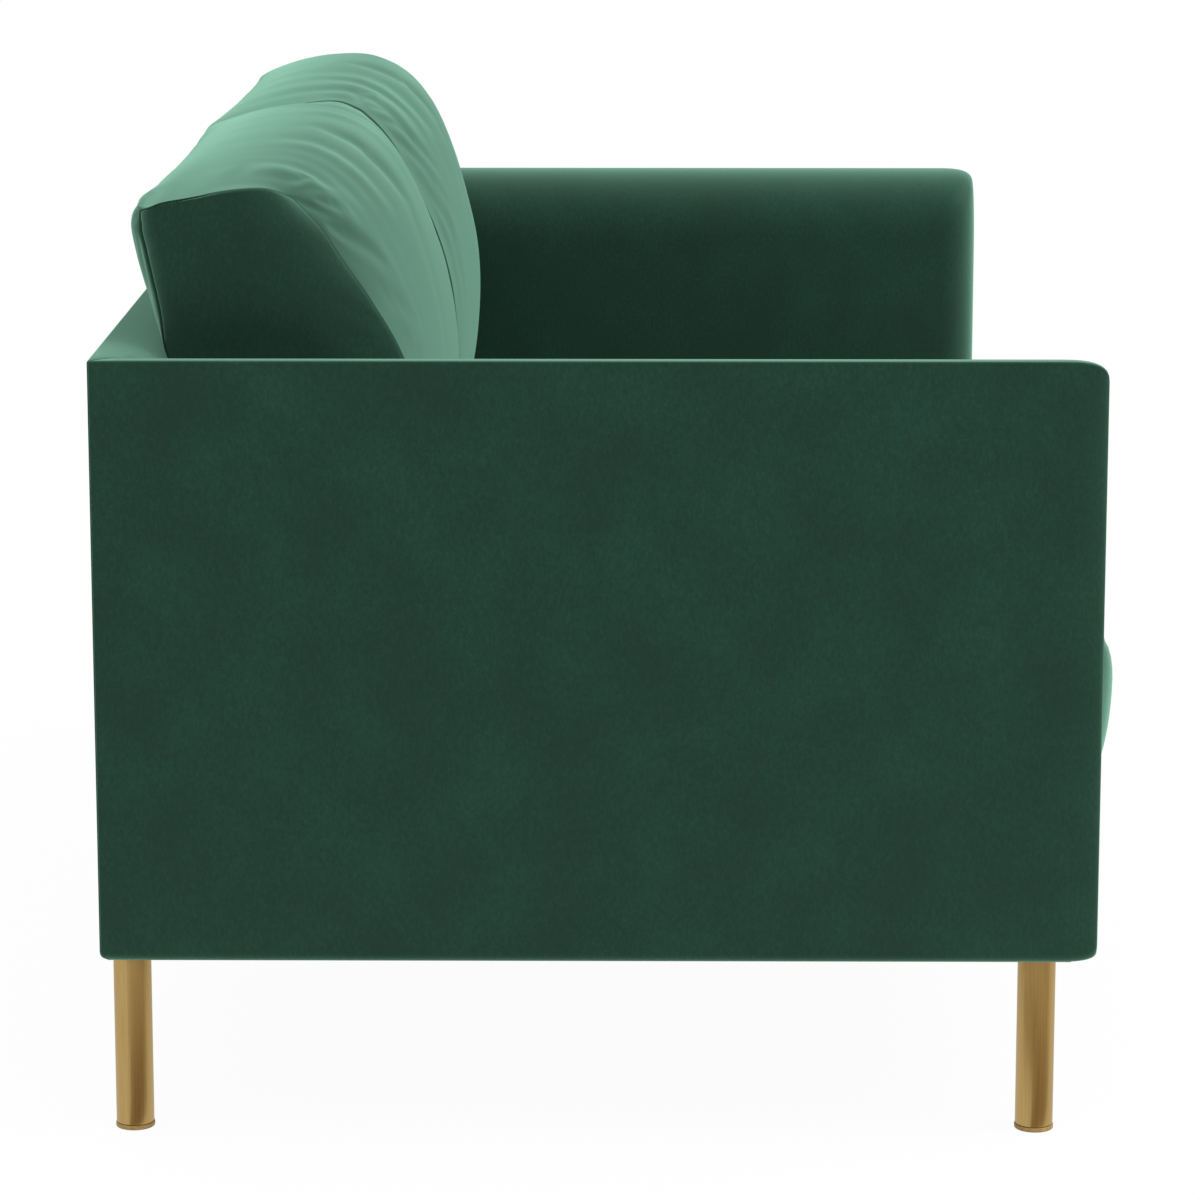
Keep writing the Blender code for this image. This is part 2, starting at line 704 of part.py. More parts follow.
def seat_outline(full):
    """A seat cushion's outline as (y, z): bulging in front, swelling to a flat rest for the back cushion."""
    front = Y_FRONT + SEAT_FRONT_ROUND
    overhang = SEAT_SIDE_OVERHANG + (SEAT_OVERHANG - SEAT_SIDE_OVERHANG) * full
    half = SEAT_THICK / 2
    rear = Y_IN - SEAT_REAR_GAP
    corner = rear - SEAT_REAR_ROUND
    crown_to = Y_IN - BACK_CUSHION_DEPTH
    reach = (-SEAT_FRONT_ROUND - overhang, half)
    points = rounded((front, SEAT_FROM + half), reach, SEAT_FRONT_POWER, -90, 90, SEAT_FRONT_STEPS)
    for i in range(1, SEAT_TOP_STEPS):
        share = i / SEAT_TOP_STEPS
        swell = full * math.sin(math.pi / 2 * share) + (1 - full) * share
        points.append((front + (crown_to - front) * share, SEAT_EDGE_TOP + SEAT_CROWN * swell))
    points.append((crown_to, SEAT_REST))
    points += rounded((corner, SEAT_REST - SEAT_REAR_ROUND), (SEAT_REAR_ROUND,) * 2, 2, 90, 0, 1)
    points += rounded((corner, SEAT_FROM + SEAT_REAR_ROUND), (SEAT_REAR_ROUND,) * 2, 2, 0, -90, 1)
    points.append(((corner + front) / 2, SEAT_FROM))
    return [Vector(point) for point in points]


def back_outline(full):
    """A back cushion's outline as (y, z): it stands on the seat, leans on the back and flops over its top."""
    foot = SEAT_REST + GAP
    top = ARM_HEIGHT + BACK_CUSHION_SIDE_RISE + (BACK_CUSHION_RISE - BACK_CUSHION_SIDE_RISE) * full
    rear = WALL_THICK + BACK_CUSHION_REAR_GAP
    crest = WALL_THICK + BACK_CUSHION_CREST
    front = WALL_THICK + BACK_CUSHION_DEPTH
    belly = foot + BACK_CUSHION_BELLY
    power = BACK_CUSHION_SIDE_POWER + (BACK_CUSHION_POWER - BACK_CUSHION_SIDE_POWER) * full
    shoulder = top - BACK_CUSHION_SHOULDER
    tuck = (front - BACK_CUSHION_TUCK, belly)
    flop = crest - WALL_THICK + BACK_CUSHION_FLOP
    points = [(rear + BACK_CUSHION_ROUND, foot)]
    points += rounded(tuck, (BACK_CUSHION_TUCK, BACK_CUSHION_BELLY), 2, -90, -30, 2)
    points += rounded((crest, belly), (front - crest, top - belly), power, 0, 90, BACK_FRONT_STEPS)
    points += rounded((crest, shoulder), (flop, top - shoulder), BACK_CUSHION_REAR_POWER, 115, 180, 3)
    for angle in (math.radians(a) for a in BACK_CUSHION_ROLL_ANGLES):
        on_roll = ARM_HEIGHT - ROLL_HEIGHT * (1 - math.cos(angle))
        points.append((WALL_THICK * math.sin(angle) + BACK_CUSHION_REAR_GAP, on_roll + BACK_CUSHION_REAR_GAP))
    points.append((rear, ARM_HEIGHT - ROLL_HEIGHT))
    points.append((rear, foot + BACK_CUSHION_ROUND))
    return [Vector((Y_BACK - inward, z)) for inward, z in points]


def inset_loop(loop, amount):
    """Moves an outline, which runs clockwise, inwards by the same distance all round."""
    moved = []
    for i, point in enumerate(loop):
        before = (point - loop[i - 1]).normalized()
        after = (loop[(i + 1) % len(loop)] - point).normalized()
        along = before + after
        inwards = Vector((along.y, -along.x))
        moved.append(point + inwards * amount / (1 + before.dot(after)))
    return moved


def cushion_loops(outline, span):
    """Outlines across a cushion: full in the middle, rounded at its side edges, with sides that draw in."""
    half = (span[1] - span[0]) / 2
    flat = half - CUSHION_EDGE
    turn = math.sqrt(0.5)
    side = [
        (flat + CUSHION_EDGE * turn, CUSHION_EDGE * (1 - turn)),
        (half, CUSHION_EDGE),
        (half - CUSHION_DRAW_IN, CUSHION_EDGE + CUSHION_DISH),
    ]
    middle = [(flat * (2 * i / (CUSHION_STATIONS - 1) - 1), 0.0) for i in range(CUSHION_STATIONS)]
    rows = [(-x, draw) for x, draw in reversed(side)] + middle + side
    centre = (span[0] + span[1]) / 2
    loops = []
    for x, draw in rows:
        loop = inset_loop(outline(fullness(x / flat)), draw)
        loops.append([(centre + x, point.x, point.y) for point in loop])
    return loops


def filling_loops(outline, span, inset):
    """Plainer outlines of what is inside a cover, at an equal distance from its outer surface."""
    flat = (span[1] - span[0]) / 2 - CUSHION_EDGE
    half = (span[1] - span[0]) / 2 - CUSHION_DRAW_IN - inset
    centre = (span[0] + span[1]) / 2
    loops = []
    for i in range(FILLING_STATIONS):
        x = half * (2 * i / (FILLING_STATIONS - 1) - 1)
        loop = inset_loop(outline(fullness(x / flat)), inset)[::2]
        loops.append([(centre + x, point.x, point.y) for point in loop])
    return loops


def make_cushion(name, outline, span, zip_place, finishes, body):
    """Sewn cover over a loose core, with a zip in its rear face at zip_place, a (y, z) point."""
    velvet, filling, tape = finishes
    cover = add_mesh(f"{name}_cover", lofted(cushion_loops(outline, span)), velvet, body, smooth_angle=50)
    cut(cover, f"cut_{name}_room", lofted(filling_loops(outline, span, COVER_WALL)))
    core = lofted(filling_loops(outline, span, COVER_WALL + CORE_GAP))
    add_mesh(f"{name}_core", core, filling, body, smooth_angle=50)

    centre = (span[0] + span[1]) / 2
    y, z = zip_place
    half_length, half_width = ZIP_LENGTH / 2, ZIP_WIDTH / 2
    reach = COVER_WALL * 3
    slot = boxes((
        (centre - half_length - GAP, y - reach, z - half_width - GAP),
        (centre + half_length + GAP, y + reach, z + half_width + GAP),
    ))
    cut(cover, f"cut_{name}_zip_slot", slot)
    strip = boxes((
        (centre - half_length, y - ZIP_DEPTH, z - half_width),
        (centre + half_length, y, z + half_width),
    ))
    add_mesh(f"{name}_zip", strip, tape, body)


def make_loose_cushions(finishes, root):
    for side, sign in SIDES.items():
        span = cushion_span(sign)
        centre = (span[0] + span[1]) / 2
        body = add_empty(f"{side}_seat_body", (centre, Y_FRONT, SEAT_FROM), root)
        zip_place = (Y_IN - SEAT_REAR_GAP, (SEAT_FROM + SEAT_REST) / 2)
        make_cushion(f"{side}_seat_cushion", seat_outline, span, zip_place, finishes, body)
        body = add_empty(f"{side}_back_body", (centre, Y_IN, SEAT_REST), root)
        zip_place = (Y_IN - BACK_CUSHION_REAR_GAP, SEAT_REST + ZIP_RISE)
        make_cushion(f"{side}_back_cushion", back_outline, span, zip_place, finishes, body)


def main():
    clear_scene()
    velvet = make_material("green_velvet", (0.017, 0.053, 0.035), 0.8)
    timber = make_material("pine", (0.55, 0.38, 0.20), 0.7)
    board = make_material("hardboard", (0.28, 0.18, 0.10), 0.8)
    webbing = make_material("elastic_webbing", (0.10, 0.10, 0.10), 0.9)
    felt = make_material("grey_felt", (0.25, 0.25, 0.25), 0.95)
    nonwoven = make_material("black_nonwoven", (0.02, 0.02, 0.02), 0.95)
    foam = make_material("foam", (0.85, 0.80, 0.62), 0.95)
    tape = make_material("zip_tape", (0.015, 0.045, 0.030), 0.7)
    brass = make_material("satin_brass", (0.45, 0.30, 0.13), 0.35, metallic=1.0)
    steel = make_material("zinc_steel", (0.60, 0.61, 0.62), 0.4, metallic=1.0)
    plastic = make_material("glide_plastic", (0.22, 0.13, 0.06), 0.5)

    root = add_empty("sofa", (0, 0, 0))
    for side, sign in SIDES.items():
        make_arm_cover(side, sign, velvet, root)
        make_arm_frame(side, sign, timber, board, root)
    make_back_cover(velvet, root)
    make_back_frame(timber, board, root)
    make_back_webbing(webbing, root)
    make_front_border(velvet, root)
    make_base_frame(timber, root)
    make_springs(steel, root)
    make_spring_clips(steel, root)
    make_deck_and_dust_cover(felt, nonwoven, root)
    make_frame_bolts(steel, root)
    make_legs(brass, plastic, root)
    finishes = (velvet, foam, tape)
    make_loose_cushions(finishes, root)


main()
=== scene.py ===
# %% [markdown]
# # A two-seater sofa in green velvet
#
# The sofa's construction is already modelled: timber frame, springs, legs and a plain solid for each
# padded part. This lesson dresses it. Every cell makes one piece or one finish, in the order in which an
# upholsterer would work, from the fixed upholstery to the loose cushions, and prints what it made so that
# you can follow along. All places are in metres in the construction's own frame: +Z is up and the sofa's
# front faces -Y.

# %% Load the construction
import math

import bpy
import numpy as np
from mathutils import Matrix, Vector


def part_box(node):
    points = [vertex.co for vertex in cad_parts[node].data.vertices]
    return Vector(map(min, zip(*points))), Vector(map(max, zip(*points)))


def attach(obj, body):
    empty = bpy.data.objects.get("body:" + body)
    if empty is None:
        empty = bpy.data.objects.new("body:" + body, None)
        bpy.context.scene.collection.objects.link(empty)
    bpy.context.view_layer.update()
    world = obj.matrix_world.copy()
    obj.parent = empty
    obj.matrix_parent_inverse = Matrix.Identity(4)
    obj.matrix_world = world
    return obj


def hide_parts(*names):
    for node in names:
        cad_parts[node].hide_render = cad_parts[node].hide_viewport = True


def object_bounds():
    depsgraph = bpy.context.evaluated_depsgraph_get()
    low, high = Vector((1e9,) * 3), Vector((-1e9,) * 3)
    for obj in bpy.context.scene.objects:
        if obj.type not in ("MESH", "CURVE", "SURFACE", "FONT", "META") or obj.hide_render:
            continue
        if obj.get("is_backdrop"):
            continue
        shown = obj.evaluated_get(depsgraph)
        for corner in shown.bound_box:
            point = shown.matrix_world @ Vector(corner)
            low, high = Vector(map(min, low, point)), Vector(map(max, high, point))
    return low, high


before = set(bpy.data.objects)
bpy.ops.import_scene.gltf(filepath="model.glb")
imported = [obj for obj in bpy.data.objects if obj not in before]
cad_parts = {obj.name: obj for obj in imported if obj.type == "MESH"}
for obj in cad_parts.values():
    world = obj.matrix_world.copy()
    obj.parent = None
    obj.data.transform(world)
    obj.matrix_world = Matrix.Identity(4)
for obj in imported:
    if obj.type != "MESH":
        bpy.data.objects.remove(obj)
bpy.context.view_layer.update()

# %% [markdown]
# ## Places taken from the construction
#
# A dressed sofa must fit its own frame, so no place is typed in twice. The outer faces, the seat height
# and the spaces for the cushions are read from the boxes of the construction's pieces.

# %% Read the places
MM = 0.001

arm_low, arm_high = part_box("left_arm_cover")
back_low, back_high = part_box("back_cover")
border_low, border_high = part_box("front_border")
deck_low, deck_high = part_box("deck_pad")
x_out = -arm_low.x
x_in = -arm_high.x
y_front = arm_low.y
y_back = back_high.y
y_in = back_low.y
z_under = arm_low.z
z_arm = arm_high.z
z_open = deck_low.z
print(f"arm walls {1000 * (x_out - x_in):.0f} mm thick, {1000 * z_arm:.0f} mm high")

# %% [markdown]
# ## Working by hand in code
#
# Blender's operators act on whatever is selected, as they do under the mouse. So a few helpers come first:
# one adds a block between two corners, one selects edges or faces by where they lie, and one applies a
# modifier. With these, each piece below reads like the steps that you would take in edit mode.

# %% Helpers for selecting
def object_mode():
    if bpy.context.object is not None and bpy.context.object.mode != "OBJECT":
        bpy.ops.object.mode_set(mode="OBJECT")


def nothing_selected():
    object_mode()
    bpy.ops.object.select_all(action="DESELECT")


def work_on(obj):
    """Makes one object the only selected and active one."""
    nothing_selected()
    obj.select_set(True)
    bpy.context.view_layer.objects.active = obj


def pick(obj, kind, test):
    """Enters edit mode with the edges or faces selected whose middle and direction pass a test."""
    work_on(obj)
    mesh = obj.data
    for items in (mesh.vertices, mesh.edges, mesh.polygons):
        items.foreach_set("select", [False] * len(items))
    if kind == "FACE":
        for face in mesh.polygons:
            face.select = bool(test(face.center, face.normal))
    else:
        for edge in mesh.edges:
            start, end = (mesh.vertices[i].co for i in edge.vertices)
            edge.select = bool(test((start + end) / 2, (end - start).normalized()))
    bpy.context.tool_settings.mesh_select_mode = (False, kind == "EDGE", kind == "FACE")
    bpy.ops.object.mode_set(mode="EDIT")


def pick_all(obj):
    work_on(obj)
    bpy.ops.object.mode_set(mode="EDIT")
    bpy.ops.mesh.select_all(action="SELECT")


def near(value, place, reach=0.05 * MM):
    return abs(value - place) < reach


print("helpers for selecting ready")

# %% Helpers for shaping
def settle(name):
    """Names the object just added and puts its place, turn and size into its mesh."""
    obj = bpy.context.object
    obj.name = name
    obj.data.name = name
    work_on(obj)
    bpy.ops.object.transform_apply(location=True, rotation=True, scale=True)
    return obj


def add_block(name, low, high):
    """A cube primitive stretched between two corners."""
    nothing_selected()
    low, high = Vector(low), Vector(high)
    bpy.ops.mesh.primitive_cube_add(size=1, location=(low + high) / 2, scale=high - low)
    return settle(name)


def add_rows(obj, axis, rows):
    """Splits every edge that runs along an axis (0, 1 or 2) into rows."""
    pick(obj, "EDGE", lambda middle, way: abs(way[axis]) > 0.99)
    bpy.ops.mesh.subdivide(number_cuts=rows - 1)
    object_mode()


def soften_corners(obj, width, segments=3, angle=45):
    """Bevels every edge that is sharper than an angle."""
    pick(obj, "EDGE", lambda middle, way: False)
    bpy.ops.mesh.edges_select_sharp(sharpness=math.radians(angle))
    bpy.ops.mesh.bevel(offset=width, segments=segments, profile=0.5)
    object_mode()


def delete_faces(obj, test):
    pick(obj, "FACE", test)
    bpy.ops.mesh.delete(type="FACE")
    object_mode()


print("helpers for shaping ready")

# %% Helpers for modifiers and points
def apply_modifier(obj, kind, **settings):
    work_on(obj)
    modifier = obj.modifiers.new(kind.lower(), kind)
    for name, value in settings.items():
        setattr(modifier, name, value)
    bpy.ops.object.modifier_apply(modifier=modifier.name)


def points_of(obj):
    """An object's points as an array with one row each."""
    points = np.empty(len(obj.data.vertices) * 3)
    obj.data.vertices.foreach_get("co", points)
    return points.reshape(-1, 3)


def move_points(obj, points):
    obj.data.vertices.foreach_set("co", np.asarray(points, np.float32).ravel())
    obj.data.update()


def smooth(obj, angle=40):
    work_on(obj)
    bpy.ops.object.shade_smooth_by_angle(angle=math.radians(angle))


print("helpers for modifiers and points ready")

# %% Helpers for copies and declarations
def copy_of(obj, name, shift=(0, 0, 0)):
    """A copy with its own mesh, moved by a shift."""
    work_on(obj)
    bpy.ops.object.duplicate()
    copy = settle(name)
    move_points(copy, points_of(copy) + np.array(shift))
    return copy


def mirrored_copy(obj, name):
    """A copy for the other side of the sofa, with its faces turned outwards again."""
    copy = copy_of(obj, name)
    move_points(copy, points_of(copy) * (-1, 1, 1))
    pick_all(copy)
    bpy.ops.mesh.flip_normals()
    object_mode()
    return copy


def declare(piece, body, slot, *nodes):
    """Puts a piece under the body that carries it and hides the plain solids that it stands for. Its slot is
    not used.
    """
    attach(piece, body)
    if nodes:
        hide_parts(*nodes)


def faces_in(*pieces):
    return sum(len(piece.data.polygons) for piece in pieces)


print("helpers for copies and declarations ready")

# %% [markdown]
# ## Finishes
#
# Colours are picked as sRGB hex values, as a paint program shows them, and Blender's shaders want linear
# light, so one function turns the one into the other. A second adds a node with its settings and links,
# which keeps a material's recipe readable from top to bottom.

# %% Helpers for materials
def linear(hex_code):
    """An sRGB hex colour as linear red, green, blue and alpha."""
    channels = [int(hex_code[i:i + 2], 16) / 255 for i in (1, 3, 5)]
    return [c / 12.92 if c <= 0.04045 else ((c + 0.055) / 1.055) ** 2.4 for c in channels] + [1.0]


def add_node(tree, kind, settings=None, **links):
    """Adds a node. Settings are its properties; links are its inputs, as values or other outputs."""
    made = tree.nodes.new(kind)
    for name, value in (settings or {}).items():
        setattr(made, name, value)
    for name, value in links.items():
        key = name.replace("_", " ")
        socket = made.inputs[int(key[6:])] if key.startswith("input ") else made.inputs[key]
        if isinstance(value, bpy.types.NodeSocket):
            tree.links.new(value, socket)
        else:
            socket.default_value = value
    return made


def new_material(name, **values):
    """A material with its fixed values set, and its node tree, its shader and its Object coordinates."""
    material = bpy.data.materials.new(name)
    material.use_nodes = True
    tree = material.node_tree
    shader = tree.nodes["Principled BSDF"]
    for key, value in values.items():
        shader.inputs[key.replace("_", " ")].default_value = value
    place = tree.nodes.new("ShaderNodeTexCoord").outputs["Object"]
    return material, tree, shader, place


print("a mid grey in linear light:", [round(c, 3) for c in linear("#808080")])

# %% Helpers for colour and bump
def colour_between(tree, shader, amount, *stops):
    """Colours the shader by an amount, through stops of (amount, hex colour)."""
    ramp = add_node(tree, "ShaderNodeValToRGB", Fac=amount)
    elements = ramp.color_ramp.elements
    while len(elements) < len(stops):
        elements.new(0.5)
    for element, (place, colour) in zip(elements, stops):
        element.position = place
        element.color = linear(colour)
    tree.links.new(ramp.outputs[0], shader.inputs["Base Color"])


def raise_surface(tree, shader, height, depth, strength=1.0):
    """Bump of a depth in metres from a height between 0 and 1."""
    bump = add_node(tree, "ShaderNodeBump", Strength=strength, Distance=depth, Height=height)
    tree.links.new(bump.outputs[0], shader.inputs["Normal"])


def give(obj, *materials):
    obj.data.materials.clear()
    for material in materials:
        obj.data.materials.append(material)


def per_mm(millimetres):
    """Texture scale at which one step of a pattern takes that many millimetres."""
    return 1 / (millimetres * MM)


# A Wave texture of scale 1 repeats at this distance, so that its scales can be given per millimetre too
WAVE = 2 * math.pi / 20

print("a pattern of 4 mm has a texture scale of", round(per_mm(4)))

# %% [markdown]
# ### Cut velvet
#
# Velvet is a field of short upright fibres. Seen from straight above you look down between them, where
# light is trapped, so it is dark; seen along the surface you see their lit sides, so every edge and every
# turning form glows. The Principled shader's sheen is made for that: its roughness sets how far from the
# edge the glow reaches, and its tint how pale the fibres' sides are. Fibres that were brushed another way
# leave cloudy, slightly lighter patches, and the tips give a fine tooth. The pile itself is finer than a
# pixel, so its bump is drawn at 1.4 mm, as coarse as it needs to be to show.

# %% Green velvet
CLOUD_SHARE = 0.4


def make_velvet():
    material, tree, shader, place = new_material(
        "green_cut_velvet", Roughness=0.9, Specular_IOR_Level=0.1,
        Sheen_Weight=1.0, Sheen_Roughness=0.54, Sheen_Tint=(0.328, 0.67, 0.505, 1.0),
    )
    clouds = add_node(tree, "ShaderNodeTexNoise", Vector=place, Scale=per_mm(70), Detail=3.0)
    brushed = add_node(tree, "ShaderNodeMapping", Vector=place, Scale=(1.0, 1.0, 0.6))
    strokes = add_node(
        tree, "ShaderNodeTexNoise", Vector=brushed.outputs[0], Scale=per_mm(2.8), Detail=3.0, Roughness=0.6
    )
    cloudy = add_node(
        tree, "ShaderNodeMath", {"operation": "MULTIPLY"}, input_0=clouds.outputs[0], input_1=CLOUD_SHARE
    )
    both = add_node(
        tree, "ShaderNodeMath", {"operation": "MULTIPLY_ADD"},
        input_0=strokes.outputs[0], input_1=1 - CLOUD_SHARE, input_2=cloudy.outputs[0],
    )
    colour_between(tree, shader, both.outputs[0], (0.36, "#042016"), (0.50, "#06271B"), (0.64, "#0D3024"))
    pile = add_node(tree, "ShaderNodeTexNoise", Vector=place, Scale=per_mm(1.4), Detail=2.0)
    raise_surface(tree, shader, pile.outputs[0], 0.4 * MM, 0.16)
    return material


velvet = make_velvet()
print("made", velvet.name)

# %% [markdown]
# ### Satin brass
#
# The legs are steel tube, brass-plated, rubbed along their length to a satin and lacquered. The rubbing
# leaves hair lines that blur reflections into soft upright bands, so both the colour and the roughness
# follow a noise that is drawn out along the tube. The lines are a fifth of a millimetre on the real tube
# and are drawn at 0.9 mm here, so that they show. A metal takes its colour from what it reflects, so the
# base is the plating's own deep yellow.

# %% Brass and nylon for the legs
def make_brass():
    material, tree, shader, place = new_material("satin_brass_plate", Metallic=1.0)
    drawn_out = add_node(tree, "ShaderNodeMapping", Vector=place, Scale=(1.0, 1.0, 0.012))
    lines = add_node(
        tree, "ShaderNodeTexNoise", Vector=drawn_out.outputs[0], Scale=per_mm(0.9), Detail=3.0, Roughness=0.6
    )
    colour_between(tree, shader, lines.outputs[0], (0.3, "#AC8F55"), (0.7, "#BDA16A"))
    rough = add_node(
        tree, "ShaderNodeMapRange", Value=lines.outputs[0],
        From_Min=0.3, From_Max=0.7, To_Min=0.36, To_Max=0.44,
    )
    tree.links.new(rough.outputs[0], shader.inputs["Roughness"])
    raise_surface(tree, shader, lines.outputs[0], 0.03 * MM, 0.2)
    return material


def make_glide_nylon():
    """Moulded nylon: a soft shine, broken by the scuffs of the floor."""
    material, tree, shader, place = new_material("tan_moulded_nylon")
    scuffs = add_node(tree, "ShaderNodeTexNoise", Vector=place, Scale=per_mm(3), Detail=4.0)
    colour_between(tree, shader, scuffs.outputs[0], (0.35, "#93763F"), (0.7, "#A88B55"))
    rough = add_node(tree, "ShaderNodeMapRange", Value=scuffs.outputs[0], To_Min=0.35, To_Max=0.6)
    tree.links.new(rough.outputs[0], shader.inputs["Roughness"])
    return material


brass = make_brass()
glide_nylon = make_glide_nylon()
print("made", brass.name, "and", glide_nylon.name)

# %% [markdown]
# ### Timber and boards
#
# The frame is planed pine, which shows yellow early wood and thin brown late wood. Growth rings are about
# 4 mm apart, and a plank cut along the trunk draws each ring out over half a metre, so the grain is a band
# texture that is bent by noise and stretched along the plank. A plank may lie along any axis, so the
# recipe takes the axis and makes one material for each. Hardboard is pressed fibre: brown and even, with
# short pale specks.

# %% Pine and hardboard
def make_pine(axis):
    material, tree, shader, place = new_material(f"planed_pine_along_{'xyz'[axis]}", Roughness=0.62)
    stretch = [1.0, 1.0, 1.0]
    stretch[axis] = 0.03
    plank = add_node(tree, "ShaderNodeMapping", Vector=place, Scale=stretch, Rotation=(0.15, 0.1, 0.2))
    grain = add_node(
        tree, "ShaderNodeTexWave", {"wave_type": "RINGS", "rings_direction": "XYZ"[axis]},
        Vector=plank.outputs[0], Scale=per_mm(4) * WAVE, Distortion=6.0, Detail=3.0, Detail_Scale=2.0,
    )
    colour_between(tree, shader, grain.outputs[0], (0.0, "#DDBC8A"), (0.75, "#CFA56C"), (1.0, "#A97743"))
    raise_surface(tree, shader, grain.outputs[0], 0.2 * MM, 0.3)
    return material


def make_hardboard():
    material, tree, shader, place = new_material("pressed_hardboard", Roughness=0.75)
    fibres = add_node(
        tree, "ShaderNodeTexNoise", Vector=place, Scale=per_mm(2.5), Detail=6.0, Roughness=0.75
    )
    colour_between(tree, shader, fibres.outputs[0], (0.3, "#5E452F"), (0.6, "#77593C"), (0.8, "#9A7B57"))
    raise_surface(tree, shader, fibres.outputs[0], 0.15 * MM, 0.4)
    return material


pine = [make_pine(axis) for axis in range(3)]
hardboard = make_hardboard()
print("made", [material.name for material in pine], "and", hardboard.name)

# %% [markdown]
# ### Steel, webbing and foam
#
# The springs, clips and bolts are zinc-plated: a grey metal with pale crystal patches a few millimetres
# wide. The webbing is woven from rubber cord and polyester, whose ribs cross at 2 mm. Foam is full of open
# cells; the real ones are half a millimetre, and they are drawn at 2 mm so that they show. Each cell is
# painted darker towards its middle, as painted shade in its hollow.

# %% Zinc, webbing and foam
def make_zinc():
    material, tree, shader, place = new_material("zinc_plated_steel", Metallic=1.0)
    crystals = add_node(tree, "ShaderNodeTexVoronoi", Vector=place, Scale=per_mm(5))
    colour_between(tree, shader, crystals.outputs["Color"], (0.0, "#9EA2A3"), (1.0, "#BFC3C4"))
    rough = add_node(tree, "ShaderNodeMapRange", Value=crystals.outputs[0], To_Min=0.3, To_Max=0.45)
    tree.links.new(rough.outputs[0], shader.inputs["Roughness"])
    return material


def make_webbing():
    material, tree, shader, place = new_material("woven_elastic_webbing", Roughness=0.85)
    ribs = [
        add_node(tree, "ShaderNodeTexWave", {"bands_direction": way}, Vector=place, Scale=per_mm(2) * WAVE)
        for way in "XZ"
    ]
    weave = add_node(
        tree, "ShaderNodeMath", {"operation": "MULTIPLY"},
        input_0=ribs[0].outputs[1], input_1=ribs[1].outputs[1],
    )
    colour_between(tree, shader, weave.outputs[0], (0.0, "#17181A"), (1.0, "#3A3B3D"))
    raise_surface(tree, shader, weave.outputs[0], 0.4 * MM, 0.8)
    return material


def make_foam():
    material, tree, shader, place = new_material("open_cell_foam", Roughness=0.95)
    cell_depth_and_painted_shade = add_node(tree, "ShaderNodeTexVoronoi", Vector=place, Scale=per_mm(2))
    # The colour darkens towards each cell's middle, where the bump sinks it: painted shade in the cell's
    # hollow.
    colour_between(tree, shader, cell_depth_and_painted_shade.outputs[0], (0.0, "#D9CFA8"), (0.7, "#F1EACB"))
    raise_surface(tree, shader, cell_depth_and_painted_shade.outputs[0], 0.6 * MM, 0.7)
    return material


zinc = make_zinc()
webbing = make_webbing()
foam = make_foam()
print("made", zinc.name, webbing.name, foam.name)

# %% [markdown]
# ### Cloths that rarely show
#
# Under the seat cushions lies grey needled felt, a mat of fibres without a weave. Below the sofa a black
# non-woven sheet keeps dust out; it is pressed between rollers that leave a grid of small dimples. The
# cushion zips have a twill tape dyed to match the velvet and coils of nylon.

# %% Felt, dust sheet and zip
def make_felt():
    material, tree, shader, place = new_material("grey_needled_felt", Roughness=0.95, Sheen_Weight=0.3)
    fibres = add_node(tree, "ShaderNodeTexNoise", Vector=place, Scale=per_mm(2), Detail=8.0, Roughness=0.8)
    colour_between(tree, shader, fibres.outputs[0], (0.3, "#5A5C5C"), (0.55, "#7C7E7D"), (0.75, "#A2A3A0"))
    raise_surface(tree, shader, fibres.outputs[0], 0.8 * MM, 0.6)
    return material


def make_dust_sheet():
    material, tree, shader, place = new_material("black_nonwoven_sheet", Roughness=0.9)
    dimples = add_node(
        tree, "ShaderNodeTexVoronoi", {"distance": "CHEBYCHEV"},
        Vector=place, Scale=per_mm(2.5), Randomness=0.0,
    )
    colour_between(tree, shader, dimples.outputs[0], (0.1, "#0C0C0D"), (0.6, "#232426"))
    raise_surface(tree, shader, dimples.outputs[0], 0.3 * MM, 0.6)
    return material


def make_zip_tape():
    material, tree, shader, place = new_material("green_twill_tape", Roughness=0.85)
    turned = add_node(tree, "ShaderNodeMapping", Vector=place, Rotation=(0.0, math.radians(45), 0.0))
    twill = add_node(tree, "ShaderNodeTexWave", Vector=turned.outputs[0], Scale=per_mm(1.2) * WAVE)
    colour_between(tree, shader, twill.outputs[0], (0.0, "#152F25"), (1.0, "#2A4F40"))
    raise_surface(tree, shader, twill.outputs[0], 0.2 * MM, 0.6)
    return material


def make_zip_nylon():
    material, tree, shader, place = new_material("green_zip_nylon", Roughness=0.4)
    cloud = add_node(tree, "ShaderNodeTexNoise", Vector=place, Scale=per_mm(4), Detail=3.0)
    colour_between(tree, shader, cloud.outputs[0], (0.3, "#1A382D"), (0.7, "#274A3D"))
    return material


felt = make_felt()
dust_sheet = make_dust_sheet()
zip_tape = make_zip_tape()
zip_nylon = make_zip_nylon()
print("made", felt.name, dust_sheet.name, zip_tape.name, zip_nylon.name)

# %% [markdown]
# ## Arms
#
# Each arm is a slim wall: a flat outer face, a big soft roll over its inner top edge, and a rounded front.
# The upholsterer pulls velvet over foam and staples it below, so the cover is a skin that is open
# underneath. It could be lofted from outlines, but by hand it is quicker to start from a block: bevel the
# inner top edge into the roll, then push the front out in small steps, each a little narrower than the
# last.

# %% Size of the rolls
WALL_ROLL = 80 * MM
FRONT_ROLL = 42 * MM
FRONT_EDGE = 4 * MM
FRONT_TOP = 18 * MM
FRONT_FOOT = 11 * MM
CORNER = 2.2 * MM
BOTTOM_CORNER = 9 * MM
MITRE_GAP = 0.4 * MM
SKIN = 2 * MM
FRONT_STEPS = 10


def front_share(step):
    """How far an arm's front is pushed out at a step, and drawn in across and upright there, from 0 to 1."""
    out = math.sin(math.pi / 2 * step / FRONT_STEPS)
    across, upright = (1 - max(1 - out**power, 0) ** (1 / power) for power in (2, 3))
    return out, across, upright


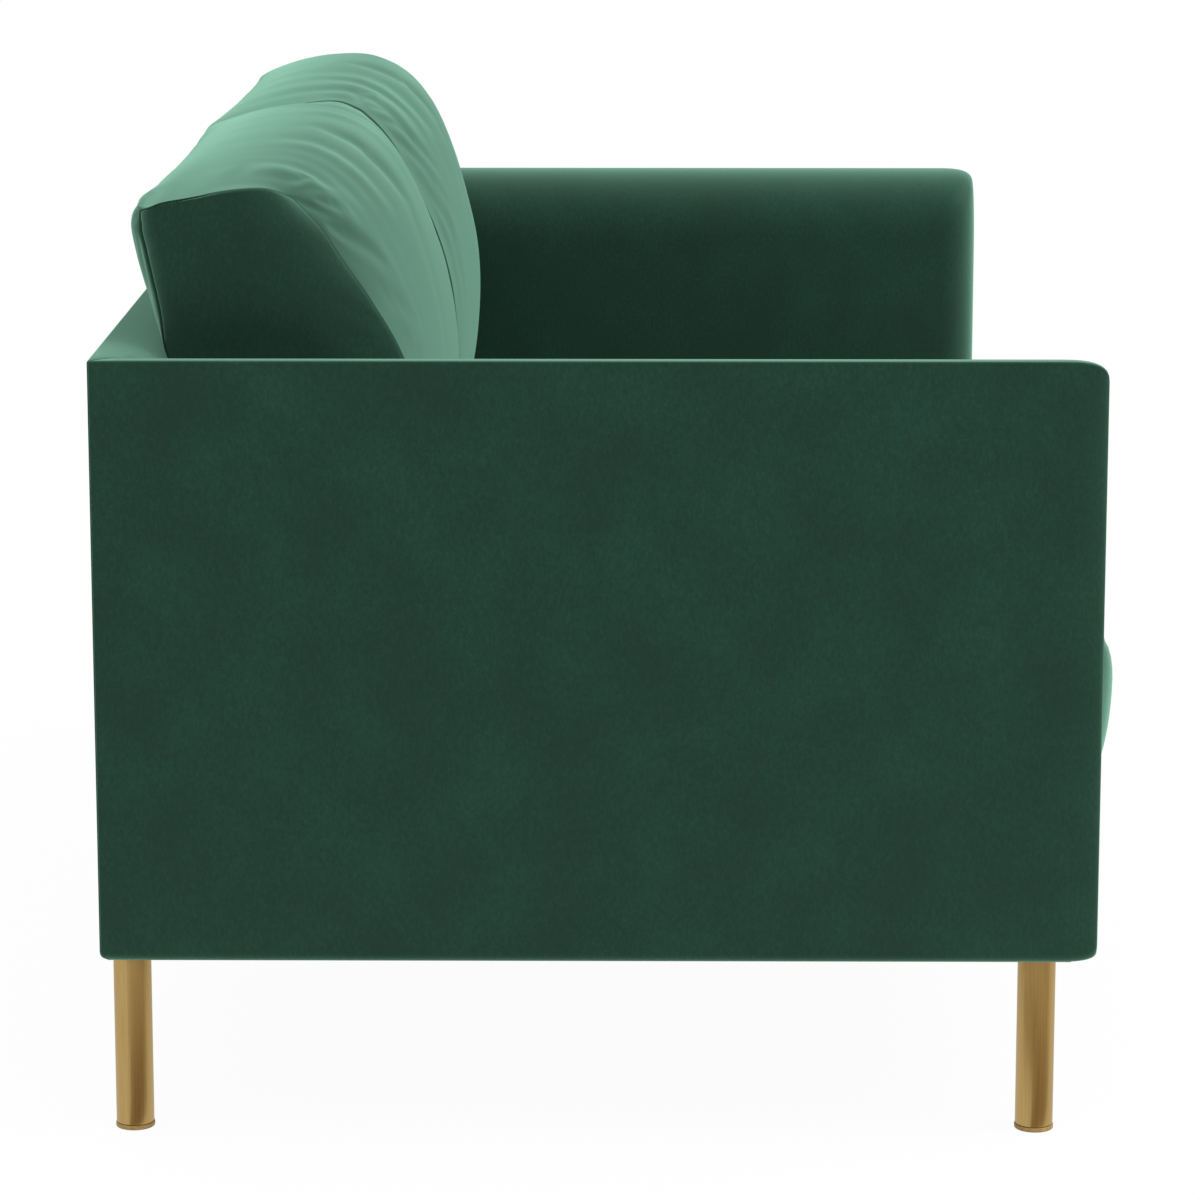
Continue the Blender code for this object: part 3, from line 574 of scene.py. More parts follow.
pushes = [FRONT_ROLL * front_share(step)[0] for step in range(FRONT_STEPS + 1)]
print("front steps in mm:", [round(1000 * push, 1) for push in pushes])

# %% Shape the left arm
def round_edges(wall, along, across, inner, outer):
    """Bevels a wall's inner top edge into the big roll and its outer bottom edge into a small round.

    The wall runs along one axis (0 or 1), and inner and outer are its two faces' places across it.
    """
    for face, height, width, segments in (
        (inner, z_arm, WALL_ROLL, 16),
        (outer, z_under, BOTTOM_CORNER, 6),
    ):
        def on_edge(middle, way):
            return abs(way[along]) > 0.99 and near(middle[across], face) and near(middle.z, height)

        pick(wall, "EDGE", on_edge)
        bpy.ops.mesh.bevel(offset=width, segments=segments, profile=0.5, clamp_overlap=False)


def push_out_front(arm):
    """Extrudes the front face in steps that draw it in about a pivot near its outer edge."""
    narrower = (FRONT_ROLL + FRONT_EDGE) / (x_out - x_in)
    lower = (FRONT_TOP + FRONT_FOOT) / (z_arm - z_under)
    pivot = (-x_out + FRONT_EDGE / narrower, 0, z_under + FRONT_FOOT / lower)
    pick(arm, "FACE", lambda middle, normal: normal.y < -0.99)
    for step in range(FRONT_STEPS):
        out, across, upright = front_share(step)
        next_out, next_across, next_upright = front_share(step + 1)
        push = -(next_out - out) * FRONT_ROLL
        bpy.ops.mesh.extrude_region_move(TRANSFORM_OT_translate={"value": (0, push, 0)})
        wide = (1 - next_across * narrower) / (1 - across * narrower)
        tall = (1 - next_upright * lower) / (1 - upright * lower)
        bpy.ops.transform.resize(value=(wide, 1, tall), center_override=pivot)
    object_mode()


arm = add_block("left_arm_upholstery", (-x_out, y_front + FRONT_ROLL, z_under), (-x_in, y_back, z_arm))
round_edges(arm, 1, 0, -x_in, -x_out)
add_rows(arm, 1, 30)
push_out_front(arm)
print(arm.name, faces_in(arm), "faces")

# %% [markdown]
# Arm and back meet in a mitre, as a picture frame does. Bisect cuts the arm off at 45 degrees. All sharp
# edges then get a small round, because velvet never folds to a knife edge, and two rounds side by side
# make the seam.

# %% Mitre and open the left arm
def cut_mitre(wall, side, way):
    """Cuts a wall off at the rear corner on one side; way is 1 for an arm and -1 for the back."""
    corner = (side * x_out, y_back - way * MITRE_GAP / 2, 0)
    pick_all(wall)
    bpy.ops.mesh.bisect(plane_co=corner, plane_no=(-side * way, way, 0), use_fill=True, clear_outer=True)
    object_mode()


def on_mitre(middle, normal):
    return near(x_out - abs(middle.x), y_back - middle.y, MITRE_GAP) and abs(normal.z) < 0.01


def open_below(wall, faces_in_room):
    """Takes away a wall's mitre faces, its underside and the stretch where the seat's base joins it."""
    delete_faces(wall, lambda middle, normal: normal.z < -0.98)
    delete_faces(wall, on_mitre)
    pick(wall, "FACE", lambda middle, normal: faces_in_room(normal))
    bpy.ops.mesh.bisect(plane_co=(0, 0, z_open), plane_no=(0, 0, 1))
    pick(wall, "FACE", lambda middle, normal: faces_in_room(normal) and middle.z < z_open)
    bpy.ops.mesh.bisect(plane_co=(0, border_high.y, 0), plane_no=(0, 1, 0))
    delete_faces(
        wall,
        lambda middle, normal: faces_in_room(normal) and middle.z < z_open and middle.y > border_high.y,
    )


cut_mitre(arm, -1, 1)
soften_corners(arm, CORNER)
open_below(arm, lambda normal: normal.x > 0.5)
print(arm.name, faces_in(arm), "faces after the mitre")

# %% [markdown]
# Where the roll over the arm turns down its front, the cover is drawn together in a short diagonal crease.
# It is too soft for a modelled line, so the points near it are simply moved inwards, most on the diagonal
# itself.

# %% Crease the arm's front corner
CREASE_DEPTH = 2.2 * MM
CREASE_WIDTH = 5 * MM
CREASE_LENGTH = 26 * MM
CREASE_DROP = 9 * MM
CREASE_FADE = 30 * MM


def normals_of(obj):
    normals = np.empty(len(obj.data.vertices) * 3)
    obj.data.vertices.foreach_get("normal", normals)
    return normals.reshape(-1, 3)


points = points_of(arm)
behind = points[:, 1] - y_front
below = z_arm - CREASE_DROP - points[:, 2]
off_diagonal = (behind - below) / math.sqrt(2)
along_it = np.clip((behind + below) / 2 / CREASE_LENGTH, 0, 1)
inner_side = np.clip((points[:, 0] + x_out) / CREASE_FADE - 0.5, 0, 1)
valley = CREASE_DEPTH * np.exp(-((off_diagonal / CREASE_WIDTH) ** 2))
sink = valley * np.sin(math.pi * along_it) * inner_side
move_points(arm, points - normals_of(arm) * sink[:, None])
print("crease sinks", round(1000 * sink.max(), 1), "mm")

# %% Give both arms their thickness
def finish_wall(wall, node):
    """Thickens a wall's skin inwards and gives it its velvet."""
    apply_modifier(wall, "SOLIDIFY", thickness=SKIN, offset=-1, use_even_offset=True)
    smooth(wall, 35)
    give(wall, velvet)
    declare(wall, "frame", "velvet", node)


right_arm = mirrored_copy(arm, "right_arm_upholstery")
finish_wall(arm, "left_arm_cover")
finish_wall(right_arm, "right_arm_cover")
print("both arms:", faces_in(arm, right_arm), "faces")

# %% [markdown]
# ## Back
#
# The back is the same wall, turned along the sofa and mitred at both ends, so the same steps make it.

# %% Shape the back
back = add_block("back_upholstery", (-x_out, y_in, z_under), (x_out, y_back, z_arm))
round_edges(back, 0, 1, y_in, y_back)
add_rows(back, 0, 50)
cut_mitre(back, -1, -1)
cut_mitre(back, 1, -1)
soften_corners(back, CORNER)
open_below(back, lambda normal: normal.y < -0.5)
finish_wall(back, "back_cover")
print(back.name, faces_in(back), "faces")

# %% [markdown]
# ## Front border and deck
#
# A padded strip closes the front of the base below the seat cushions. Its ends follow the round fronts of
# the arms. Behind it, the seat's deck is a felt pad over the springs, which sinks a little between them.

# %% Front border
BORDER_SWELL = 2 * MM
BORDER_CLEARANCE = 1 * MM
BORDER_CORNER = 4 * MM
BORDER_FLAT_REAR = 5 * MM


def arm_draw_in(y):
    """How far the inner side of an arm's front is drawn in at a place along y."""
    out = np.clip((y_front + FRONT_ROLL - y) / FRONT_ROLL, 0, 1)
    return FRONT_ROLL * (1 - np.sqrt(1 - out**2))


border = add_block("front_border_upholstery", border_low, border_high)
soften_corners(border, BORDER_CORNER, segments=4)
add_rows(border, 0, 60)
add_rows(border, 2, 8)
along, deep, up = points_of(border).T
level = (up - border_low.z) / (border_high.z - border_low.z)
swell = BORDER_SWELL * (1 - (2 * level - 1) ** 2) * (deep < border_high.y - BORDER_FLAT_REAR)
flared = along * (x_in + arm_draw_in(deep) - BORDER_CLEARANCE) / border_high.x
move_points(border, np.column_stack([flared, deep - swell, up]))
smooth(border, 50)
give(border, velvet)
declare(border, "frame", "velvet", "front_border")
print(border.name, faces_in(border), "faces")

# %% Deck pad
SPRINGS_ACROSS = 8
DECK_SINK = 1.6 * MM
DECK_CORNER = 2.5 * MM
DECK_RIM = 30 * MM
DECK_WAVES = (55 * MM, 40 * MM)

deck = add_block("seat_deck_pad", deck_low, deck_high)
soften_corners(deck, DECK_CORNER)
add_rows(deck, 0, 96)
add_rows(deck, 1, 40)
points = points_of(deck)
across, deep, up = points.T
between = np.sin(math.pi * SPRINGS_ACROSS * (across - deck_low.x) / (deck_high.x - deck_low.x)) ** 2
waves = 0.7 + 0.3 * np.sin(deep / DECK_WAVES[1]) * np.cos(across / DECK_WAVES[0])
from_edge = np.minimum(deck_high.x - np.abs(across), np.minimum(deep - deck_low.y, deck_high.y - deep))
inside = np.clip(from_edge / DECK_RIM, 0, 1)
on_top = up > deck_high.z - 1 * MM
points[:, 2] -= np.where(on_top, DECK_SINK * (1 - between) * waves * inside, 0)
move_points(deck, points)
smooth(deck, 50)
give(deck, felt)
declare(deck, "frame", "felt", "deck_pad")
print(deck.name, faces_in(deck), "faces")

# %% [markdown]
# ## Dust cover
#
# The underside is closed with a stretched black sheet that has a hole for each leg. A Boolean cuts the
# holes with a punch at each leg, which is cleaner than cutting by hand.

# %% Dust cover
LEG_NAMES = [f"{end}_{side}" for end in ("front", "rear") for side in ("left", "right")]
HOLE_CLEARANCE = 2 * MM
PUNCH_LENGTH = 100 * MM
SHEET_THICK = 0.8 * MM
dust_low, dust_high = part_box("dust_cover")


def leg_centre(name):
    low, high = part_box(f"leg_{name}")
    return (low + high) / 2


def leg_radius(name):
    low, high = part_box(f"leg_{name}")
    return (high.x - low.x) / 2


dust = add_block("dust_cover_sheet", dust_low, (dust_high.x, dust_high.y, dust_low.z + SHEET_THICK))
add_rows(dust, 0, 30)
add_rows(dust, 1, 16)
for name in LEG_NAMES:
    radius = leg_radius(name) + HOLE_CLEARANCE
    nothing_selected()
    bpy.ops.mesh.primitive_cylinder_add(
        vertices=48, radius=radius, depth=PUNCH_LENGTH, location=(*leg_centre(name).xy, z_under)
    )
    punch = settle("leg_hole_punch")
    apply_modifier(dust, "BOOLEAN", object=punch, operation="DIFFERENCE", solver="EXACT")
    bpy.data.objects.remove(punch)
give(dust, dust_sheet)
declare(dust, "frame", "dust_cover", "dust_cover")
sheet_width, sheet_depth = dust_high.x - dust_low.x, dust_high.y - dust_low.y
print(dust.name, faces_in(dust), "faces")

# %% [markdown]
# The sheet is stapled to the rails all round. One staple is bent from a block for each direction, by
# pushing its two ends up, and is then copied along the edges.

# %% One staple
STAPLE_WIDTH = 10 * MM
STAPLE_WIRE = 0.6 * MM
STAPLE_LEG = 5 * MM


def make_staple(centre, along_x):
    """A bent wire: a crown under the sheet and two legs pushed up through it."""
    half = Vector((STAPLE_WIDTH, STAPLE_WIRE, STAPLE_WIRE)) / 2
    if not along_x:
        half = Vector((half.y, half.x, half.z))
    axis = 0 if along_x else 1
    staple = add_block("staple", centre - half, centre + half)
    add_rows(staple, axis, 3)
    bend = half[axis] - STAPLE_WIRE
    points = points_of(staple)
    off_centre = points[:, axis] - centre[axis]
    inner = np.abs(off_centre) < bend
    points[inner, axis] = centre[axis] + np.sign(off_centre[inner]) * bend
    move_points(staple, points)
    pick(
        staple, "FACE",
        lambda middle, normal: normal.z > 0.9 and abs(middle[axis] - centre[axis]) > bend,
    )
    bpy.ops.mesh.extrude_region_move(TRANSFORM_OT_translate={"value": (0, 0, STAPLE_LEG)})
    object_mode()
    return staple


print("a staple is", round(1000 * STAPLE_WIDTH), "mm wide, of", 1000 * STAPLE_WIRE, "mm wire")

# %% Rows of staples
STAPLE_PITCH = 70 * MM
STAPLE_FROM_EDGE = 12 * MM
STAPLE_FREE_ENDS = 100 * MM
middle_y = (dust_low.y + dust_high.y) / 2


def join(name, pieces):
    """Joins pieces into one object with one mesh."""
    nothing_selected()
    for piece in pieces:
        piece.select_set(True)
    bpy.context.view_layer.objects.active = pieces[0]
    bpy.ops.object.join()
    return settle(name)


def staple_row(along_x, length, lines):
    """Copies one staple along both of the sheet's edges that run one way."""
    count = round(length / STAPLE_PITCH) - 1
    level = dust_low.z - STAPLE_WIRE / 2
    start = -(count - 1) / 2 * STAPLE_PITCH
    first = make_staple(Vector((start, 0, level)) if along_x else Vector((0, start, level)), along_x)
    made = []
    for line in lines:
        for i in range(count):
            step = i * STAPLE_PITCH
            made.append(copy_of(first, "staple", (step, line, 0) if along_x else (line, step + middle_y, 0)))
    bpy.data.objects.remove(first)
    return made


edges_y = (dust_low.y + STAPLE_FROM_EDGE, dust_high.y - STAPLE_FROM_EDGE)
edges_x = (dust_low.x + STAPLE_FROM_EDGE, dust_high.x - STAPLE_FROM_EDGE)
staples = join(
    "dust_cover_staples",
    staple_row(True, sheet_width - STAPLE_FREE_ENDS, edges_y)
    + staple_row(False, sheet_depth - STAPLE_FREE_ENDS, edges_x),
)
give(staples, zinc)
declare(staples, "frame", "steel")
print(staples.name, faces_in(staples), "faces")

# %% [markdown]
# ## Legs and glides
#
# Each leg is a capped tube with a threaded stud on top, and a nylon glide pressed into its foot. A
# cylinder is only the start: inset and extrude hollow the foot out and raise the stud, and a bevel breaks
# the rims. One leg and one glide are modelled, and the other three are copies.

# %% Legs
LEG_SIDES = 96
LEG_WALL = 1.8 * MM
LEG_CAP = 4 * MM
STUD_RADIUS = 5 * MM
LEG_RIM = 0.7 * MM


def extrude_up(distance):
    bpy.ops.mesh.extrude_region_move(TRANSFORM_OT_translate={"value": (0, 0, distance)})


def make_leg(name):
    low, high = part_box(f"leg_{name}")
    radius = leg_radius(name)
    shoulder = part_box("front_rail")[0].z
    nothing_selected()
    bpy.ops.mesh.primitive_cylinder_add(
        vertices=LEG_SIDES, radius=radius, depth=shoulder - low.z,
        location=(*leg_centre(name).xy, (shoulder + low.z) / 2),
    )
    leg = settle(f"leg_{name}_tube")
    pick(leg, "FACE", lambda middle, normal: normal.z < -0.9)
    bpy.ops.mesh.inset(thickness=LEG_WALL)
    extrude_up(shoulder - LEG_CAP - low.z)
    pick(leg, "FACE", lambda middle, normal: normal.z > 0.9 and near(middle.z, shoulder))
    bpy.ops.mesh.inset(thickness=radius - STUD_RADIUS)
    extrude_up(high.z - shoulder)
    soften_corners(leg, LEG_RIM)
    smooth(leg, 40)
    give(leg, brass)
    return leg


def at_every_leg(first, kind, form, slot):
    """Copies the first leg's piece to the other legs and declares all four."""
    pieces = [first]
    for name in LEG_NAMES[1:]:
        shift = leg_centre(name) - leg_centre(LEG_NAMES[0])
        pieces.append(copy_of(first, f"{kind}_{name}_{form}", shift))
    for name, piece in zip(LEG_NAMES, pieces):
        declare(piece, "frame", slot, f"{kind}_{name}")
    return pieces


legs = at_every_leg(make_leg(LEG_NAMES[0]), "leg", "tube", "leg_brass")
print("four legs:", faces_in(*legs), "faces")

# %% Glides
GLIDE_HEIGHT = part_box("glide_front_left")[0].z + 4 * MM
GLIDE_RIM = 0.8 * MM
PLUG_CLEARANCE = 0.4 * MM


def make_glide(name):
    low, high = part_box(f"glide_{name}")
    radius = (high.x - low.x) / 2
    nothing_selected()
    bpy.ops.mesh.primitive_cylinder_add(
        vertices=LEG_SIDES, radius=radius, depth=GLIDE_HEIGHT,
        location=(*leg_centre(name).xy, GLIDE_HEIGHT / 2),
    )
    glide = settle(f"glide_{name}_plug")
    pick(glide, "FACE", lambda middle, normal: normal.z > 0.9)
    bpy.ops.mesh.inset(thickness=radius - leg_radius(name) + LEG_WALL + PLUG_CLEARANCE)
    extrude_up(high.z - GLIDE_HEIGHT)
    soften_corners(glide, GLIDE_RIM)
    smooth(glide, 40)
    give(glide, glide_nylon)
    return glide


glides = at_every_leg(make_glide(LEG_NAMES[0]), "glide", "plug", "glide")
print("four glides:", faces_in(*glides), "faces")

# %% [markdown]
# ## Loose cushions
#
# A cushion cover is one long panel that wraps over the rear, top and front, sewn to two end panels. A
# loose back cushion stands on the seat, leans on the back and flops over it, so its outline is far from a
# box. Only a few corner points of the outline are needed: at the ends, where the seams hold it, and in the
# middle, where the filling swells it. A block of even squares is spread between the two, which keeps the
# mesh regular for the cloth.

# %% Outlines of the cushions
# Each point is (millimetres forward of the sofa's back plane, millimetres above the floor)
BACK_REAR = [
    (92, 436), (92, 520), (91, 614), (84, 649), (57, 684), (41, 735), (27, 785), (26, 806), (32, 818),
]
BACK_FOOT = [(92, 436), (160, 436), (240, 436)]
BACK_AT_END = {
    "rear": BACK_REAR,
    "top": [(32, 818), (54, 822), (82, 824), (112, 829), (146, 830), (168, 820)],
    "front": [
        (240, 436), (262, 460), (279, 530), (280, 620), (264, 680),
        (236, 730), (211, 766), (195, 791), (168, 820),
    ],
    "foot": BACK_FOOT,
}
BACK_IN_MIDDLE = {
    "rear": BACK_REAR,
    "top": [(32, 818), (62, 831), (100, 845), (150, 855), (182, 858), (207, 850)],
    "front": [
        (240, 436), (266, 456), (286, 530), (287, 600), (283, 670),
        (271, 735), (250, 798), (228, 833), (207, 850),
    ],
    "foot": BACK_FOOT,
}
SEAT_REAR = [(98, 268), (91, 280), (91, 350), (91, 420), (100, 434)]
SEAT_FOOT = [(98, 268), (450, 268), (820, 268)]
SEAT_AT_END = {
    "rear": SEAT_REAR,
    "top": [(100, 434), (180, 435), (285, 435), (550, 427), (740, 421), (842, 430)],
    "front": [
        (820, 268), (858, 274), (877, 294), (884, 324), (887, 364), (887, 406), (879, 424), (842, 430),
    ],
    "foot": SEAT_FOOT,
}
SEAT_IN_MIDDLE = {
    "rear": SEAT_REAR,
    "top": [(100, 434), (180, 435), (285, 435), (420, 437), (580, 431), (740, 422), (844, 430)],
    "front": [
        (820, 268), (864, 274), (889, 294), (899, 326), (903, 364), (902, 406), (891, 424), (844, 430),
    ],
    "foot": SEAT_FOOT,
}
back_top = BACK_AT_END["top"]
print("a back cushion's top runs from", back_top[0], "to", back_top[-1], "mm at its ends")

# %% Spread a grid inside an outline
STEPS_PER_CORNER = 24
STEPS_PER_SIDE = 400


def smooth_line(corners, count):
    """Evenly spaced points on a smooth curve through a few corner points."""
    corners = np.array(corners, float)
    ends = np.vstack([2 * corners[0] - corners[1], corners, 2 * corners[-1] - corners[-2]])
    share = np.linspace(0, 1, STEPS_PER_CORNER, endpoint=False)[:, None]
    pieces = []
    for before, start, end, after in zip(ends, ends[1:], ends[2:], ends[3:]):
        bend = (2 * before - 5 * start + 4 * end - after) * share**2
        twist = (3 * start - before - 3 * end + after) * share**3
        pieces.append(0.5 * (2 * start + (end - before) * share + bend + twist))
    line = np.vstack(pieces + [corners[-1:]])
    run = np.concatenate([[0], np.cumsum(np.linalg.norm(np.diff(line, axis=0), axis=1))])
    wanted = np.linspace(0, run[-1], count)
    return np.column_stack([np.interp(wanted, run, line[:, i]) for i in range(2)])


def spread_inside(outline, across, up):
    """Spreads a grid of across and up shares between the four sides of an outline."""
    spots = np.linspace(0, 1, STEPS_PER_SIDE)
    sides = {name: smooth_line(corners, len(spots)) for name, corners in outline.items()}

    def at(name, share):
        return np.column_stack([np.interp(share, spots, sides[name][:, i]) for i in range(2)])

    v, w = across[:, None], up[:, None]
    ruled = (
        (1 - w) * at("foot", across) + w * at("top", across)
        + (1 - v) * at("rear", up) + v * at("front", up)
    )
    low = (1 - v) * sides["foot"][0] + v * sides["foot"][-1]
    high = (1 - v) * sides["top"][0] + v * sides["top"][-1]
    return ruled - (1 - w) * low - w * high


half_way = np.array([0.5])
middle = spread_inside(BACK_AT_END, half_way, half_way)[0]
print("the middle of a back cushion's end lies at", middle.round(), "mm")

# %% [markdown]
# The filling swells a cushion most in its middle. At the outer end the seams hold it tight, and at the
# inner end its neighbour leans on it, so it stays fuller there. The outer corners are turned round: near
# them the long panel sweeps towards the seam and the end panel is tucked in. The rear seam runs straight
# up where the panel bulges, so a band of the panel shows behind it. Rows are closest at the edges, where
# the folds are finest.

# %% Turn the corners round
SWEEP_REACH = 80 * MM
REAR_CORNER = {"reach": 32 * MM, "sweep": 14 * MM, "tuck": 9 * MM, "tuck_reach": 20 * MM}


def turn_corner(from_end, from_edge, turn):
    """How far points near a corner move inwards and along the depth, by their distance from its sides."""
    near_end = np.clip(1 - from_end / turn["reach"], 0, 1) ** 2
    tuck = turn["tuck"] * np.clip(1 - from_edge / turn["tuck_reach"], 0, 1) ** 2
    sweep = turn["sweep"] * np.clip(1 - from_edge / SWEEP_REACH, 0, 1) ** 2
    return near_end * tuck, near_end * sweep


print("a back cushion's rear corner turns within", round(1000 * REAR_CORNER["reach"]), "mm of its end")

# %% Spread a block into a cushion
FULLNESS_POWER = 1.7
INNER_PINCH = 0.5
INNER_CORNER = 0.35
ROWS_TO_ENDS = 0.55
ARM_FADE = 40 * MM
NEIGHBOUR_ROOM = 1.1 * MM
REAR_DROP = 8 * MM
REAR_BULGE = [(0.6, 0), (0.65, 0.3), (0.73, 0.5), (0.78, 0.65), (0.91, 1), (0.965, 0.85), (1, 0.35)]


def cushion_form(name, node, shape, mesh):
    """A block of squares, spread into a cushion. Also returns where its points lie on it, from 0 to 1."""
    low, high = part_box(node)
    left = low.x - NEIGHBOUR_ROOM * (low.x > 0)
    width = high.x - low.x + NEIGHBOUR_ROOM
    form = add_block(name, (0, 0, 0), (1, 1, 1))
    for axis, length in enumerate((width, shape["depth"], shape["height"])):
        add_rows(form, axis, round(length / mesh))
    even = points_of(form)
    share, across, up = (even - ROWS_TO_ENDS * np.sin(2 * math.pi * even) / (2 * math.pi)).T
    outwards = (2 * share - 1) * (1 if low.x > 0 else -1)
    outer = outwards > 0
    pinch = np.abs(outwards) ** FULLNESS_POWER * np.where(outer, 1, INNER_PINCH)
    at_end = spread_inside(shape["ends"], across, up)
    in_middle = spread_inside(shape["middle"], across, up)
    forward, height = ((in_middle + (at_end - in_middle) * pinch[:, None]) * MM).T
    from_end = (1 - np.abs(outwards)) * width / 2
    above_arm = np.clip((height - z_arm) / ARM_FADE + 0.5, 0, 1) * outer
    rear_in, rear_sweep = turn_corner(from_end, across * shape["depth"], REAR_CORNER)
    rear_sweep *= np.interp(up, *np.transpose(REAR_BULGE))
    front_in, front_sweep = turn_corner(from_end, (1 - across) * shape["depth"], shape["corner"])
    at_front = np.where(outer, 1, INNER_CORNER)
    inwards = rear_in * above_arm + front_in * at_front
    near_end = np.clip(1 - from_end / REAR_CORNER["reach"], 0, 1) ** 2
    drop = REAR_DROP * near_end * (1 - across) ** 4 * up**8 * above_arm
    plan = left + share * width - np.sign(share - 0.5) * inwards
    depth = y_back - forward - rear_sweep * above_arm + front_sweep * at_front
    move_points(form, np.column_stack([plan, depth, height - drop]))
    pick_all(form)
    bpy.ops.mesh.normals_make_consistent(inside=False)
    object_mode()
    return form, (share, across, up)


def end_and_side(share, across, up):
    """Which points lie on the end panels, and which on the panel that wraps round."""
    at_edge = [np.minimum(values, 1 - values) < 1e-4 for values in (share, across, up)]
    return at_edge[0], at_edge[1] | at_edge[2]


BACK_CORNER = {"reach": 90 * MM, "sweep": 0, "tuck": 26 * MM, "tuck_reach": 68 * MM}
SEAT_CORNER = {"reach": 80 * MM, "sweep": 16 * MM, "tuck": 24 * MM, "tuck_reach": 60 * MM}
BACK_SHAPE = {
    "ends": BACK_AT_END, "middle": BACK_IN_MIDDLE, "depth": 0.17, "height": 0.42, "corner": BACK_CORNER
}
SEAT_SHAPE = {
    "ends": SEAT_AT_END, "middle": SEAT_IN_MIDDLE, "depth": 0.73, "height": 0.19, "corner": SEAT_CORNER
}
print("cushions are spread from blocks", BACK_SHAPE["depth"], "m and", SEAT_SHAPE["depth"], "m deep")

# %% [markdown]
# A cover is cut a little wider than its filling, so the slack gathers into folds that run round the
# cushion from seam to seam. Cloth that starts perfectly smooth has no reason to fold anywhere, so a few
# shallow folds are drawn first with a seeded random generator, most of them near the ends, where the seams
# gather the velvet. The simulation then turns them into real ones.

# %% Draw shallow folds
FOLD_FROM_END = 16 * MM
FOLD_SPREAD = 0.29
FOLD_CROWDING = 1.25
FOLD_DRIFT = (-10 * MM, 50 * MM)
FOLD_WIDTH = 8 * MM
FOLD_WIDEST = 3
FOLD_HEIGHT = (0.06, 0.13)
FOLD_TAPER = 1.2
SEAM_MARGIN = 14 * MM
SEAM_HOLD = {"share": 0.55, "reach": 60 * MM}


def draw_folds(form, grid, lengths, starts, stops, seed, count):
    """Pushes shallow folds into a cushion's long panel.

    lengths are those of the panel's rear, top and front. A fold starts and stops at distances round the
    cushion, counted forwards from its rear top edge, which are drawn at random between the two given limits.
    Wide folds are deeper than narrow ones.
    """
    share, across, up = grid
    rear, top, front = lengths
    round_it = np.where(across < 0.5, -(1 - up) * rear, top + (1 - up) * front)
    round_it = np.where(up > 0.9999, across * top, round_it)
    points = points_of(form)
    low, high = points[:, 0].min(), points[:, 0].max()
    random = np.random.default_rng(seed)
    push = np.zeros(len(points))
    for number in range(count):
        from_end = FOLD_FROM_END + FOLD_SPREAD * random.random() ** FOLD_CROWDING
        at_left = number % 2 == 0
        centre = low + from_end if at_left else high - from_end
        drift = random.uniform(*FOLD_DRIFT) * (1 if at_left else -1)
        start, stop = random.uniform(*starts), random.uniform(*stops)
        width = FOLD_WIDTH * FOLD_WIDEST ** random.random()
        height = width * random.uniform(*FOLD_HEIGHT) * random.choice((-1, 1))
        run = np.clip((round_it - start) / (stop - start), 0, 1)
        line = centre + drift * run**2
        ridge = np.exp(-((points[:, 0] - line) / width) ** 2)
        push += height * np.sin(math.pi * run) ** FOLD_TAPER * ridge
    from_seam = np.minimum(points[:, 0] - low, high - points[:, 0])
    on_panel = end_and_side(*grid)[1] * np.clip(from_seam / SEAM_MARGIN, 0, 1)
    on_panel *= 1 - SEAM_HOLD["share"] * (1 - np.clip(from_seam / SEAM_HOLD["reach"], 0, 1))
    move_points(form, points + normals_of(form) * (push * on_panel)[:, None])


print("folds are", [round(2000 * FOLD_WIDTH * times) for times in (1, FOLD_WIDEST)], "mm wide")

# %% [markdown]
# The cloth simulation blows the cover up against its own stitching. The seams and the places where the
# cushion rests are pinned; a second shape that is wider by the slack tells the cloth its cut size; gravity
# is off and a gentle pressure stands for the filling. Twenty frames are enough to settle, and a soft cap
# keeps any point from travelling far.

# %% Let the cover settle over its filling
SETTLE_FRAMES = 20
SETTLE_CAP = 25 * MM


def let_settle(form, held, slack, pressure):
    start = points_of(form)
    work_on(form)
    form.shape_key_add(name="sewn")
    cut = form.shape_key_add(name="cut")
    middle = start[:, 0].mean()
    wider = np.column_stack([middle + (start[:, 0] - middle) * (1 + slack), start[:, 1], start[:, 2]])
    cut.data.foreach_set("co", wider.astype(np.float32).ravel())
    group = form.vertex_groups.new(name="held")
    group.add([int(i) for i in np.flatnonzero(held)], 1.0, "REPLACE")
    modifier = form.modifiers.new("cover", "CLOTH")
    cloth = modifier.settings
    cloth.quality = 6
    cloth.mass = 0.3
    cloth.air_damping = 2.0
    cloth.shear_stiffness = 5
    cloth.bending_stiffness = 0.4
    cloth.use_pressure = True
    cloth.uniform_pressure_force = pressure
    cloth.effector_weights.gravity = 0
    cloth.vertex_group_mass = "held"
    cloth.pin_stiffness = 1.0
    cloth.rest_shape_key = cut
    modifier.collision_settings.use_collision = False
    modifier.point_cache.frame_end = SETTLE_FRAMES
    for number in range(1, SETTLE_FRAMES + 1):
        bpy.context.scene.frame_set(number)
    settled = points_of(form.evaluated_get(bpy.context.evaluated_depsgraph_get()))
    form.modifiers.remove(modifier)
    form.shape_key_clear()
    form.vertex_groups.clear()
    bpy.context.scene.frame_set(1)
    moved = settled - start
    length = np.linalg.norm(moved, axis=1)
    capped = SETTLE_CAP * np.tanh(length / SETTLE_CAP) / np.maximum(length, 1e-9)
    move_points(form, start + moved * capped[:, None])
    mean, most = 1000 * length.mean(), 1000 * length.max()
    print(form.name, f"settled: {mean:.1f} mm on average, {most:.1f} mm at most")


print("covers settle in", SETTLE_FRAMES, "frames")

# %% [markdown]
# After the simulation one subdivision rounds the squares, and the seams are sewn: stitching pulls the
# edges of the end panels in, so each point on a seam is drawn to between its neighbours on both sides and
# then a little deeper. The valley shows most at the rear; over the top it is drawn tight and along the
# front the filling presses it flat.

